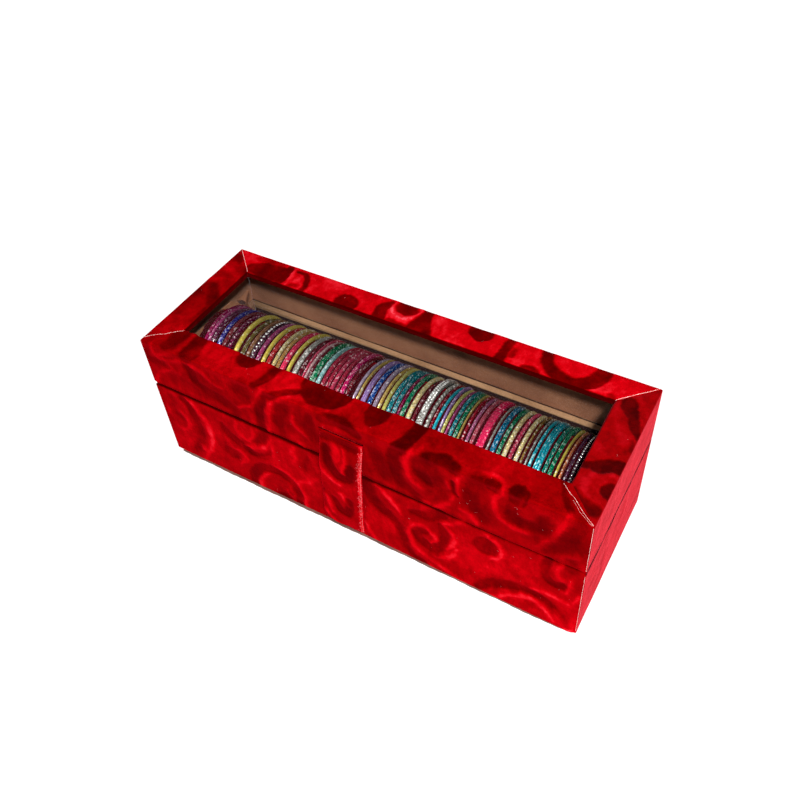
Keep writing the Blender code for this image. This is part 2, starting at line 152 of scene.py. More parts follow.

# Motifs of the front, unfolded over its top edge. Where the pile is pressed: (strength, softness,
# (x, height, half width), ...). Where it stands up in a rim, drawn pale as painted highlight: (strength, (x,
# height, half width), ...)
FRONT_PRESSED = (
    # Lid, left half
    (0.9, 1.8, (34, 93, 2.6), (37, 89, 4.2), (38, 84, 3.6)),
    (0.7, 2.2, (42, 81, 3.4), (48, 78, 4.2), (56, 76, 4.2), (64, 72, 4), (66, 66, 3)),
    (0.5, 2.5, (70, 92, 4), (76, 98, 4), (78, 90, 3)),
    (0.9, 1.4, (93, 97, 2.6), (88.5, 90, 3), (85.4, 80, 3.2), (84.6, 66, 3.2)),
    (0.6, 2, (108, 97, 3), (102, 88, 4), (99, 76, 3.5), (100, 66, 2.5)),
    (0.6, 1.6, (122, 94, 3), (121, 84, 4), (123, 74, 3)),
    (0.9, 1.2, (130, 97, 3.2), (142, 99.5, 5), (154, 95, 3)),
    (0.5, 2.5, (3, 97, 3), (4, 86, 3), (14, 88, 3)),
    # Lid, right half
    (0.9, 1.8, (178, 97, 3.5), (175.5, 90, 4.4), (175.5, 80, 4.6), (179, 71, 4.2), (190, 64, 3)),
    (0.5, 3, (166, 84, 5), (168, 72, 5), (180, 66, 3)),
    (1, 2, (191, 94, 4), (192, 87, 4.6), (196, 82, 4)),
    (0.6, 2.4, (198, 94, 5), (202, 86, 4.5), (203, 79, 3)),
    (0.9, 0.9, (211, 90, 1.2), (211, 83, 1.6), (212.5, 80, 1.2)),
    (0.7, 2, (224, 100, 4), (221, 88, 4), (222, 78, 4.5), (229, 69, 3.5)),
    (0.7, 2.4, (244, 90, 3.5), (244, 83, 4), (251, 80, 3.6), (259, 83, 4.5), (261, 91, 3.5)),
    (0.6, 2, (279, 99, 3), (275, 86, 4), (270, 72, 3), (262, 64, 2)),
    # Front strip of the top
    (0.5, 1.4, (18, 104, 4), (19, 110, 5.2), (20, 118, 5)),
    (0.8, 0.9, (38, 103, 4), (35, 103, 6), (34, 111, 4.8), (34, 121, 4)),
    (1, 0.9, (69.5, 117.5, 7.8), (69.5, 121, 7.8)),
    (0.9, 1.2, (89.5, 121, 3.2), (88, 112, 3.2), (86, 103, 3), (84, 99, 2)),
    (1, 0.9, (117, 120, 7), (121, 116.5, 12.5), (128, 117, 12), (134, 120, 6)),
    (0.9, 1, (113, 109.5, 1.8), (107, 106, 2.4), (100, 101, 2.6), (94, 96, 2.6)),
    (1, 0.9, (158, 118, 7), (158, 113, 6.6), (158, 109, 4)),
    (1, 0.9, (183, 121, 3.8), (182.5, 112, 4), (180.5, 103, 4.2), (178, 96, 4)),
    (1, 1.1, (194, 93, 4), (196, 100, 4.5), (204, 103, 4.2), (212, 100, 4)),
    (1, 0.9, (232, 99.5, 4.2), (233, 98.5, 4.2)),
    (1, 0.9, (245, 102, 4), (246.5, 101, 5.6), (246, 97, 5)),
    (0.6, 1, (262, 118, 1), (266, 111, 1.5), (271, 104, 2)),
    # Base, left half
    (0.9, 1.8, (21, 60, 3), (27, 50, 3.4), (29, 37, 3.2), (27, 24, 3), (20, 10, 3)),
    (0.5, 2.4, (12, 56, 3), (9, 46, 3), (14, 38, 3.5)),
    (0.9, 1.6, (51, 51, 2.5), (55, 43, 4.5), (63, 38, 4), (73, 34.5, 3), (82, 37, 2.6), (87, 45, 2)),
    (0.8, 1.8, (86, 61, 3), (81, 53, 3), (76, 48, 2)),
    (0.8, 1.8, (52, 25, 5.5), (54, 25, 5)),
    (1, 1.4, (66, 1, 3), (68, 12, 3.8), (75, 22, 4), (87, 26.5, 3.6), (97, 22, 3.6), (102, 12, 3.4),
     (102, 1, 3)),
    (0.7, 1.8, (90, 1, 5), (95, 7, 3)),
    (0.6, 2.4, (112, 58, 4), (114, 48, 4), (112, 40, 2)),
    # Base, right half
    (0.9, 2, (156, 57, 4), (158, 46, 5), (164, 38, 4.5), (172, 33, 3.5), (177, 22, 3.2), (181, 8, 3),
     (190, 1, 3)),
    (0.8, 1.6, (184, 47, 2), (194, 50, 4.5), (203, 57, 4)),
    (1, 1.2, (203, 46, 3), (205, 37, 3.4), (203, 28, 3), (197, 21, 4.2), (189, 24, 4.2),
     (187, 31, 3.4), (193, 34, 2.4)),
    (0.9, 1, (229.5, 46, 7.6), (230.5, 46, 7.6)),
    (0.9, 1.2, (265, 59, 2.6), (263, 50, 2.8), (265, 42, 3), (271, 39, 3.2), (275, 42, 2.4)),
    (0.9, 1.6, (226, 4, 3), (236, 15, 4), (250, 21, 3.6), (264, 20.5, 3.2), (274, 14, 2.6), (279, 5, 2)),
    (0.6, 2, (278, 58, 4), (276, 64, 4)),
)
FRONT_RIMS = (
    # Beside the tab's foot
    (1, (151.5, 17, 1.1), (154, 9, 1.9), (157, 3, 1.8)),
    # Lid, left half
    (0.8, (3, 66, 1.6), (8, 75, 1.9), (14, 81, 1.8), (21, 85, 1)),
    (0.8, (9, 106, 1.4), (8, 98, 1.8), (12, 91.5, 2), (20, 92, 1.8), (28, 95, 1.8), (36, 95, 1.8),
     (45, 94, 2.4), (52, 89, 1.4), (60, 87, 0.8)),
    (0.5, (20, 89, 1.2), (25, 83, 1.4), (30, 88, 1)),
    (1, (92, 100, 1.1), (88, 95, 1.7), (85, 88, 1.6), (81, 83, 1.5), (76, 79.5, 1.6), (70, 76, 1.1)),
    (0.5, (76, 78, 1.4), (78, 71, 1.5), (77, 65, 1.2)),
    (0.7, (121, 107, 1.2), (112, 103.5, 1.8), (104, 99.5, 1.8), (98, 95, 1.8)),
    (1, (99, 96, 1.4), (94.5, 90, 2.4), (92.3, 83, 2.6), (91.3, 75, 2.4), (90, 64.5, 2)),
    (0.9, (110, 89, 1), (111, 82, 1.8), (118, 76, 1.3)),
    (0.8, (112, 66, 1.6), (115, 64.5, 1.2)),
    # Lid, right half
    (1, (186, 101, 1.2), (183.5, 91, 2.2), (183.5, 83, 2), (187, 77, 2), (193, 73, 1.2)),
    (0.6, (190, 64, 1.4), (196, 62.5, 1.2)),
    (0.9, (207, 89, 1.2), (208.5, 85, 1.6)),
    (0.9, (215, 101, 1.3), (213.5, 92, 2), (214, 82, 1.2)),
    (0.8, (211, 80, 1.4), (208, 72, 2), (204, 66, 2.2), (200, 62, 1.3)),
    (0.8, (215, 70, 1.2), (220, 68.5, 1.9), (224, 64, 1.7), (224, 62, 1.2)),
    (1, (239, 103, 1.3), (235, 93, 1.9), (234, 83, 2.2), (239, 76, 2.2), (247, 74, 2), (253, 74, 1.5)),
    (0.8, (253, 75, 1.8), (252, 80, 1)),
    (0.8, (250, 101, 1.3), (247.5, 93, 1.6)),
    (0.9, (272, 103, 1.3), (269, 90, 2), (265, 78, 1.8), (258, 66, 1.2)),
    (0.4, (272, 66, 2.5), (280, 72, 2)),
    # Front strip of the top
    (0.7, (28, 120, 1.5), (27.5, 110, 1.8), (25, 101, 2), (18, 96, 1.8), (11, 93, 1.4)),
    (0.5, (98, 112, 2), (102, 119, 2)),
    (0.9, (224, 103, 1.6), (228, 105.5, 1.9), (234, 106, 1.8), (238, 101.5, 1.6), (236.5, 94, 1.6),
     (233, 88, 1.4)),
    (0.5, (187, 112, 1.6), (190, 106, 2), (187, 98, 1.6)),
    (0.5, (126, 118.5, 3)),
    # Base, left half
    (1, (26, 62, 1.6), (31, 56, 2.4), (36, 47, 2.8), (38, 35, 2.9), (36, 23, 2.6), (31, 13, 2.4),
     (24, 1, 1.6)),
    (0.9, (27, 17, 2.6), (29, 12, 2.2)),
    (0.6, (16, 45, 1.4), (20.5, 38, 2.2), (19, 31, 2), (12, 26, 1)),
    (0.5, (4, 39, 1.6), (6, 47, 1.8), (11, 54, 1.2)),
    (0.9, (63.5, 60, 1.6), (62.5, 52, 2), (66, 47.5, 1.8), (71, 46, 1.2)),
    (0.6, (71, 47, 1.4), (75, 53, 1.6), (76, 60, 1.4)),
    (0.8, (64, 39, 1.1), (72, 40.5, 1.6), (80, 45, 1.5), (86, 51, 1.4), (90, 57, 1)),
    (0.8, (89, 52, 1.1), (88.5, 44, 1.4), (84, 38, 1.4), (77, 34, 0.9)),
    (0.9, (55, 31, 1.2), (60.5, 30.5, 1.8), (64, 26, 2.1), (62, 21, 1.9), (58, 17, 0.9)),
    (1, (72, 0, 2.2), (73, 8, 2.3), (76, 15, 2.1), (82, 21, 1.2)),
    (0.9, (87, 32, 1), (95, 30, 1.5), (100.5, 26, 1.5), (105, 19, 1.6), (107.3, 11, 1.8),
     (106.5, 0, 1.8)),
    (0.8, (102, 25, 1.2), (108, 28, 1.6), (114, 31.5, 1.6), (119, 38, 1.1)),
    (0.9, (93, 10, 1), (96, 6, 1.8), (99, 9, 1)),
    (0.9, (106, 59, 1.5), (104, 54, 2), (105.8, 49, 1.6), (103, 43, 0.8)),
    # Base, right half
    (1, (160, 59, 0.9), (167, 55, 2.2), (173, 48, 2.3), (177.5, 40.5, 1)),
    (1, (197, 26, 1.3), (200, 29, 1.7), (198.5, 33.5, 1.8), (194, 36, 1.2)),
    (1, (196, 35, 1.2), (192, 39, 1.2), (187, 37.5, 1.9), (183, 32, 2.4), (182, 25, 2.7),
     (184, 17, 2.6), (190, 11.5, 2.3), (199, 8.5, 2.2), (209, 4, 2.2), (218, -1, 2)),
    (0.9, (195, 3, 1.6), (201, 0, 1.4)),
    (0.9, (216, 59, 1.6), (209, 53, 1.6), (204, 49, 1.5), (208.5, 45, 1.7), (211.5, 38, 2),
     (210, 31, 1.8), (205, 26, 1.3)),
    (1, (213, 30, 1.4), (209.5, 22, 2), (205, 17, 1.9), (199, 14, 1)),
    (1, (230, 57, 1), (236, 53.5, 2), (238.8, 46, 2.1), (237.8, 40, 1.8), (233, 36, 0.9)),
    (0.8, (273, 59, 1.2), (270, 53, 1.7), (271.5, 47, 1.8), (275, 46, 1.2)),
    (0.9, (277.5, 48, 1.3), (278, 42, 1.7), (275.5, 36, 1)),
    (0.9, (257, 26, 1.2), (266, 27.5, 1.8), (278, 26.5, 1.6)),
    (1, (236, 0, 1.8), (242, 7, 2.2), (249, 13, 2.2), (258, 15.5, 2), (266, 12.5, 1.8), (272, 4, 1.4)),
    (1, (272, 15, 1.8), (276, 9, 2.8), (281, 1, 2.8)),
    (0.8, (284, 38, 1.5), (281, 30, 1.2)),
)

# Motifs of the top's other strips, the same but in plan: (x, y, half width)
TOP_PRESSED = {
    "back": (
        (1, 0.8, (20, 87, 5), (27, 88, 7), (34, 88, 8), (39, 89, 7)),
        (1, 0.7, (43, 96, 2.8), (42.5, 84, 3.6)),
        (0.5, 1.4, (20, 97, 3), (36, 97.5, 2)),
        (1, 0.7, (50, 96, 1.2), (55, 95.5, 1.8), (59, 92, 2), (60.8, 86, 1.8), (61, 80, 2)),
        (0.5, 1.2, (51, 83, 1.5), (56, 84, 2)),
        (1, 0.8, (92.5, 84.6, 7.2), (93.5, 84.4, 7.4)),
        (1, 0.8, (119, 96, 2), (115.5, 90, 3.6), (116.5, 83, 4.5), (118, 79, 5)),
        (1, 0.8, (129, 96, 6), (131, 95.5, 6)),
        (1, 0.8, (144, 101, 3), (143.5, 95, 4), (143.5, 88, 5.5), (145, 80, 8.5)),
        (0.8, 0.8, (124, 81.5, 2), (136, 81, 2.4)),
        (1, 0.8, (178.5, 98, 7.2), (179.5, 97, 7.4)),
        (1, 0.7, (197.8, 101, 2.2), (197, 92, 2.8), (197.2, 79, 3.6)),
        (0.6, 0.9, (202, 93, 1.2), (202, 87, 1.6)),
        (1, 0.8, (219.6, 101, 3.2), (222, 92, 3.4), (228, 86, 3.8), (237, 83, 3.8), (246, 85, 4.4),
         (251.5, 91, 4.6), (254, 101, 3.8)),
        (1, 0.8, (215, 80.4, 4.6), (217, 80, 4.8)),
        (0.6, 1, (262, 83, 1.8), (264, 80, 2)),
    ),
    "left": (
        (0.7, 2.2, (19, 45, 3.4), (13, 54, 3.8), (7, 62, 2.6)),
        (0.6, 1.8, (19.5, 44, 2.4), (18.5, 28, 2.6)),
        (0.6, 2, (16, 84, 2), (20, 80, 2.4), (21, 74, 2)),
        (0.4, 2.5, (2, 52, 3), (3, 30, 3)),
        (0.5, 1.6, (3, 92, 2.5), (8, 88, 2)),
    ),
    "right": (
        (1, 0.8, (272.5, 84.5, 2), (273.5, 81, 4.2), (276, 76, 3.8), (280, 69, 3), (285, 61, 1.8)),
        (0.6, 1, (282.5, 57, 1.2), (284, 52, 1.6)),
        (1, 0.8, (286, 38.5, 4.2), (280, 38.5, 4.2), (276, 36.5, 4.4), (273.5, 34, 3.8)),
        (0.9, 0.9, (272, 34.5, 2.4), (266, 33, 2.2)),
        (1, 0.8, (284.5, 22.5, 5.4), (286, 22.5, 5.4)),
        (0.8, 1.4, (282, 9, 3.5), (275, 11, 3), (268, 15, 2.6)),
        (0.5, 1.5, (268, 90, 1.6), (266, 84, 1.6)),
    ),
}
TOP_RIMS = {
    "back": (
        (1, (47.4, 99, 1), (47.4, 90, 1.1), (48.6, 81, 0.8)),
        (0.6, (52, 88, 2), (53, 84, 1.6)),
        (0.5, (57, 86, 1.6), (58, 82, 1.2)),
        (1, (120.5, 99, 1.4), (121.5, 92, 1.6), (125.5, 87.2, 1.7), (131, 85.8, 1.8),
         (136, 88.8, 1.7), (138.6, 95, 1.6), (138.8, 100, 1.5)),
        (0.6, (218, 85, 0.8), (224, 79, 0.8)),
        (0.5, (112, 97, 1.2), (118, 99, 1.2)),
        (0.6, (251, 84, 2), (259, 84.5, 1.6)),
    ),
    "left": (
        (0.7, (20, 71, 2.2), (13, 76, 2.8), (5, 80, 2.6)),
        (0.8, (8, 68, 1.8), (1, 65, 2.4)),
        (0.5, (12, 62, 1.8), (18, 55, 1.6)),
        (0.5, (10, 92, 1.6), (16, 86, 1.4)),
    ),
    "right": (
        (0.8, (273, 30, 1.8), (271.5, 22, 2.6), (275, 14.5, 2.2), (281, 11, 1.6)),
        (0.5, (284, 77, 1.4), (280, 84, 1.6), (275, 90, 1.6)),
        (0.4, (268, 76, 2), (272, 64, 2.4), (279, 54, 2.4)),
        (0.6, (280, 31.5, 1.4), (285, 32, 1.6)),
    ),
}

# Motifs of the closing tab, as seen from the front
TAB_PRESSED = (
    (0.9, 1.6, (133, 78, 2.4), (134, 66, 3.2), (139, 58, 4), (146, 58, 4), (149, 68, 3)),
    (0.8, 1.4, (134, 33, 2.4), (138, 24, 3.4), (143, 25, 3.4), (145, 36, 3)),
    (0.7, 2, (124, 12, 3), (130, 5, 2.5), (140, 7, 2)),
    (0.6, 2, (129, 86, 3), (140, 87, 3.5), (151, 85, 3)),
    (0.5, 2, (125, 40, 2), (124, 28, 2.4)),
)
TAB_RIMS = (
    (0.8, (138, 83, 2.4), (140, 75, 4.2), (139, 69, 2)),
    (1, (144, 81, 1), (145, 72, 1.6), (143, 63, 1)),
    (1, (126, 69, 1.2), (127.5, 62, 1.7), (130, 56, 1.7), (135, 51.5, 1.7), (141, 49.5, 1)),
    (0.9, (140, 41, 1.6), (143.5, 31, 1.2)),
    (1, (129, 35, 1.2), (130, 26, 1.9), (131.5, 19, 1.1)),
    (1, (127, 19, 1.2), (129, 12, 2.2), (134, 8, 2), (139, 8.5, 1.2)),
)

# White cut edges down the front right edge: (body, half width, heights)
CORNER_THREADS = (
    ("lid", 0.12, (99.4, 92, 84, 76, 68, 62.6)),
    ("base", 0.10, (57.6, 48, 38, 26, 14, 3.4)),
)

# Radius of a loose fibre, and of one in the tab's worn edge, in metres
FIBRE_RADIUS = 0.00003
WORN_FIBRE_RADIUS = 0.00008

# White cut edges along the four mitres: (name, half width, (x, y), ...)
MITRE_THREADS = (
    ("front_left", 0.15, (0.5, 2.6), (4, 6), (8, 9.2), (11, 11), (14, 14), (19.4, 18.5)),
    ("front_right", 0.12, (262.7, 17.2), (267.5, 13.2), (271, 11), (277, 5.7), (284.2, 0.5)),
    ("front_right_inner", 0.06, (270.5, 9.9), (273.5, 7.2), (276.2, 4.7), (283.4, 0.2)),
    ("back_left", 0.15, (0.8, 99.3), (6, 94.2), (11, 89.4), (15.4, 85.2), (19.1, 81.4)),
    ("back_right", 0.17, (265.6, 81), (270, 85.6), (275, 90.8), (280, 95.6), (283.6, 99.4)),
)


WHITE = (1.0, 1.0, 1.0, 1.0)
LAMP_TARGET = (0.0, 0.0, 0.04)

# Velvets: where their six colours lie on the scale of tones, the colours in sRGB, and the tints of the sheen
VELVET_STOPS = (0.02, 0.25, 0.5, 0.74, 0.94, 1.0)
VELVET_COLOURS = ((60, 0, 0), (98, 0, 0), (148, 0, 3), (200, 1, 12), (232, 34, 48), (238, 80, 92))
# Paler, pinker copy of the velvet for the right wall, with a pinker sheen tint: painted sheen of light
# grazing it
RIGHT_SHEEN_COLOURS = ((60, 0, 0), (98, 0, 0), (148, 0, 3), (184, 10, 22), (194, 34, 46), (204, 52, 64))
MAROON_COLOURS = ((28, 3, 6), (40, 5, 9), (60, 9, 16), (84, 16, 26), (110, 30, 42), (124, 40, 52))
VELVET_TINT = (1.0, 0.004, 0.018, 1.0)
RIGHT_SHEEN_TINT = (1.0, 0.085, 0.12, 1.0)


def srgb(red, green, blue):
    """A colour given in 0 to 255, as Blender's linear colour."""
    linear = []
    for value in (red, green, blue):
        share = value / 255
        linear.append(share / 12.92 if share <= 0.04045 else ((share + 0.055) / 1.055) ** 2.4)
    return (*linear, 1.0)


def smoothstep(low, high, value):
    """0 up to low, 1 from high on, and a smooth step between them."""
    share = np.clip((value - low) / (high - low), 0.0, 1.0)
    return share * share * (3 - 2 * share)


def interpolated(pairs, places):
    """Values at places, from (place, value) pairs."""
    return np.interp(places, *zip(*pairs, strict=True))


def settle(made, body, slot, *nodes):
    """Let a piece ride on a body, in place of the CAD nodes that it stands for. slot is not used."""
    if nodes:
        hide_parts(*nodes)
    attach(made, body)
    return made


class Nodes:
    """Builds the node tree of one material, or of the world, with short calls."""

    def __init__(self, name, world=None):
        self.owner = world or bpy.data.materials.new(name)
        self.owner.use_nodes = True
        self.tree = self.owner.node_tree
        self.tree.nodes.clear()
        self.output = self.add("ShaderNodeOutputWorld" if world else "ShaderNodeOutputMaterial")

    def add(self, kind, **settings):
        node = self.tree.nodes.new(kind)
        for key, value in settings.items():
            setattr(node, key, value)
        return node

    def fed(self, kind, **values):
        """A node with its inputs set or linked, each under its name."""
        node = self.add(kind)
        for key, value in values.items():
            self.put(node, key.replace("_", " "), value)
        return node

    def split(self, kind, source):
        """The outputs of a node that takes a colour or a place apart."""
        node = self.add(kind)
        self.link(source, node.inputs[0])
        return node.outputs

    def link(self, source, target):
        self.tree.links.new(source, target)

    def put(self, node, socket, value):
        """Set a socket to a value, or link it to an output."""
        if isinstance(value, bpy.types.NodeSocket):
            self.link(value, node.inputs[socket])
        else:
            node.inputs[socket].default_value = value

    def surface(self, shader):
        """Make a shader the surface, and return what it covers."""
        self.link(shader.outputs[0], self.output.inputs["Surface"])
        return self.owner

    def principled(self, **values):
        return self.surface(self.fed("ShaderNodeBsdfPrincipled", **values))

    def blend_shaders(self, share, first, second):
        """Make two shaders, mixed by a share, the surface."""
        mixed = self.add("ShaderNodeMixShader")
        self.put(mixed, 0, share)
        self.link(first.outputs[0], mixed.inputs[1])
        self.link(second.outputs[0], mixed.inputs[2])
        return self.surface(mixed)

    def seen_directly(self):
        """One for rays from the camera, a mirror or a clear sheet, and nothing for light on a surface."""
        path = self.add("ShaderNodeLightPath").outputs
        seen = self.math("ADD", path["Is Camera Ray"], path["Is Glossy Ray"])
        return self.math("ADD", seen, path["Is Transmission Ray"], clamp=True)

    def place(self):
        return self.add("ShaderNodeTexCoord").outputs["Object"]

    def noise(self, scale, detail=3.0, roughness=0.55, stretch=None):
        source = self.place()
        if stretch is not None:
            source = self.fed("ShaderNodeMapping", Scale=stretch, Vector=source).outputs["Vector"]
        values = {"Scale": scale, "Detail": detail, "Roughness": roughness, "Vector": source}
        return self.fed("ShaderNodeTexNoise", **values).outputs["Fac"]

    def voronoi(self, scale, output):
        return self.fed("ShaderNodeTexVoronoi", Scale=scale, Vector=self.place()).outputs[output]

    def attribute(self, name):
        return self.add("ShaderNodeAttribute", attribute_name=name).outputs["Fac"]

    def ramp(self, source, *stops):
        """Map a value through stops, each a place and a colour or value."""
        node = self.add("ShaderNodeValToRGB")
        elements = node.color_ramp.elements
        while len(elements) < len(stops):
            elements.new(0.5)
        for element, (place, colour) in zip(elements, stops, strict=True):
            element.position = place
            element.color = colour if isinstance(colour, tuple) else (colour, colour, colour, 1.0)
        self.link(source, node.inputs["Fac"])
        return node.outputs["Color"]

    def mix(self, factor, first, second, blend="MIX", clamp=False):
        node = self.add("ShaderNodeMix", data_type="RGBA", blend_type=blend, clamp_result=clamp)
        self.put(node, 0, factor)
        self.put(node, 6, first)
        self.put(node, 7, second)
        return node.outputs[2]

    def math(self, operation, first, second=0.0, clamp=False):
        node = self.add("ShaderNodeMath", operation=operation, use_clamp=clamp)
        self.put(node, 0, first)
        self.put(node, 1, second)
        return node.outputs[0]

    def bump(self, height, strength, distance, **normal):
        values = {"Strength": strength, "Distance": distance, "Height": height, **normal}
        return self.fed("ShaderNodeBump", **values).outputs["Normal"]

    def speckled(self, colour, texture, *stops):
        """A colour made darker and lighter by a texture."""
        return self.mix(1.0, colour, self.ramp(texture, *stops), "MULTIPLY")

    def blotched(self, texture, first, second, low=0.32, high=0.68):
        """Two colours that change over from one to the other with a texture."""
        return self.mix(self.ramp(texture, (low, 0.0), (high, 1.0)), first, second)


def velvet_material(name, colours, sheen, tint=VELVET_TINT):
    """Velvet coloured by the tone of its pile: dark where it is pressed, pale along its raised rims as
    painted highlight, and dark as painted shade in its gaps.
    """
    nodes = Nodes(name)
    broad = nodes.noise(34.0, 3.0, 0.6)
    mottle = nodes.noise(120.0, 3.0, 0.62)
    streak = nodes.noise(420.0, 3.0, 0.65, (1.0, 1.0, 0.4))
    fibre = nodes.noise(2300.0, 2.0, 0.65)
    tone = nodes.attribute("tone")
    for source, amount in ((broad, 0.34), (mottle, 0.46), (streak, 0.26), (fibre, 0.22)):
        tone = nodes.math("ADD", tone, nodes.math("MULTIPLY", nodes.math("SUBTRACT", source, 0.5), amount))
    stops = [(place, srgb(*colour)) for place, colour in zip(VELVET_STOPS, colours, strict=True)]
    pile_height = nodes.math("ADD", nodes.math("MULTIPLY", fibre, 0.6), streak)
    normal = nodes.bump(pile_height, 0.4, 0.0003, Normal=nodes.bump(mottle, 0.3, 0.0008))
    return nodes.principled(
        Base_Color=nodes.ramp(tone, *stops), Roughness=0.95, Specular_IOR_Level=0.0, Normal=normal,
        Sheen_Weight=sheen, Sheen_Roughness=0.45, Sheen_Tint=tint,
    )


def paled(colour, share, added):
    """A colour made darker or lighter by a share, and paler by an added amount."""
    return (*[min(value * share + added, 1.0) for value in colour[:3]], 1.0)


def shade(colour, share):
    """A colour made darker or lighter by a share."""
    return paled(colour, share, 0.0)


def paper_material(name, light, dark, roughness=0.85, grain_scale=900.0):
    """Matt paper or board with soft blotches and fine fibres."""
    nodes = Nodes(name)
    blotch = nodes.noise(38.0, 5.0, 0.62)
    grain = nodes.noise(grain_scale, 3.0, 0.7)
    colour = nodes.blotched(blotch, srgb(*dark), srgb(*light))
    colour = nodes.speckled(colour, grain, (0.3, 0.80), (0.7, 1.14))
    normal = nodes.bump(grain, 0.25, 0.00025, Normal=nodes.bump(blotch, 0.3, 0.0015))
    return nodes.principled(Base_Color=colour, Roughness=roughness, Specular_IOR_Level=0.2, Normal=normal)


def back_liner_material(name):
    """The back's card: card-coloured along its top, and drawn dark below it and towards the left end as
    painted shade.
    """
    nodes = Nodes(name)
    place = nodes.split("ShaderNodeSeparateXYZ", nodes.place())
    blotch = nodes.noise(60.0, 4.0, 0.6)
    grain = nodes.noise(900.0, 3.0, 0.7)
    # Painted shade: the card is drawn dark below its top, the dark reaching higher towards the left end
    shade_rise_left = nodes.math("SUBTRACT", nodes.math("MULTIPLY", place["X"], -0.012), 0.0004)
    level = nodes.math("ADD", place["Z"], nodes.math("MAXIMUM", shade_rise_left, 0.0))
    level = nodes.math("ADD", level, nodes.math("MULTIPLY", blotch, 0.0006))
    level = nodes.math("MULTIPLY", nodes.math("SUBTRACT", level, 0.0595), 500.0, clamp=True)
    card = nodes.blotched(blotch, srgb(154, 116, 84), srgb(184, 144, 108))
    # Painted shade: the card darkens towards the left end
    from_left = nodes.math("MULTIPLY", nodes.math("ADD", place["X"], 0.143), 18.0, clamp=True)
    card = nodes.speckled(card, from_left, (0.0, 0.40), (1.0, 1.0))
    colour = nodes.blotched(level, srgb(50, 28, 28), card, 0.36, 0.66)
    colour = nodes.speckled(colour, grain, (0.3, 0.82), (0.7, 1.12))
    normal = nodes.bump(grain, 0.25, 0.00025)
    return nodes.principled(Base_Color=colour, Roughness=0.85, Specular_IOR_Level=0.2, Normal=normal)


def board_material(name):
    """Recycled grey board with flecks."""
    nodes = Nodes(name)
    grain = nodes.noise(1300.0, 4.0, 0.7)
    layer = nodes.noise(60.0, 3.0, 0.5)
    flecks = nodes.ramp(nodes.voronoi(700.0, "Distance"), (0.05, 1.0), (0.14, 0.0))
    colour = nodes.blotched(layer, srgb(122, 103, 88), srgb(148, 128, 110), 0.3, 0.7)
    colour = nodes.mix(nodes.math("MULTIPLY", flecks, 0.5), colour, srgb(84, 66, 56))
    colour = nodes.speckled(colour, grain, (0.3, 0.78), (0.7, 1.15))
    normal = nodes.bump(grain, 0.4, 0.0003)
    return nodes.principled(Base_Color=colour, Roughness=0.93, Specular_IOR_Level=0.15, Normal=normal)


def film_material(name):
    """Clear film: nearly all light goes through, a little is mirrored, and faint scuffs catch light."""
    nodes = Nodes(name)
    clear = nodes.fed("ShaderNodeBsdfTransparent", Color=(0.97, 0.97, 0.965, 1.0))
    wave = nodes.bump(nodes.noise(26.0, 2.0, 0.5, (1.0, 2.0, 1.0)), 0.25, 0.004)
    gloss = nodes.fed("ShaderNodeBsdfGlossy", Color=WHITE, Roughness=0.12, Normal=wave)
    weight = nodes.fed("ShaderNodeLayerWeight", Blend=0.5)
    scuff = nodes.ramp(nodes.noise(420.0, 4.0, 0.7, (1.0, 0.25, 1.0)), (0.66, 0.0), (0.80, 0.02))
    share = nodes.math("MULTIPLY", nodes.math("POWER", weight.outputs["Facing"], 3.0), 0.10)
    return nodes.blend_shaders(nodes.math("ADD", share, scuff, clamp=True), clear, gloss)


def thread_material(name, pale, dyed, share, sheen=0.2):
    """Cut threads: pale ones with dyed ones between them."""
    nodes = Nodes(name)
    twist = nodes.noise(1900.0, 2.0, 0.6)
    colour = nodes.blotched(twist, srgb(*pale), srgb(*dyed), share - 0.05, share + 0.05)
    fuzz = nodes.bump(nodes.noise(4200.0, 2.0, 0.6), 0.6, 0.0002)
    return nodes.principled(
        Base_Color=colour, Roughness=0.85, Specular_IOR_Level=0.75 * sheen, Normal=fuzz,
        Sheen_Weight=sheen, Sheen_Roughness=0.5,
    )


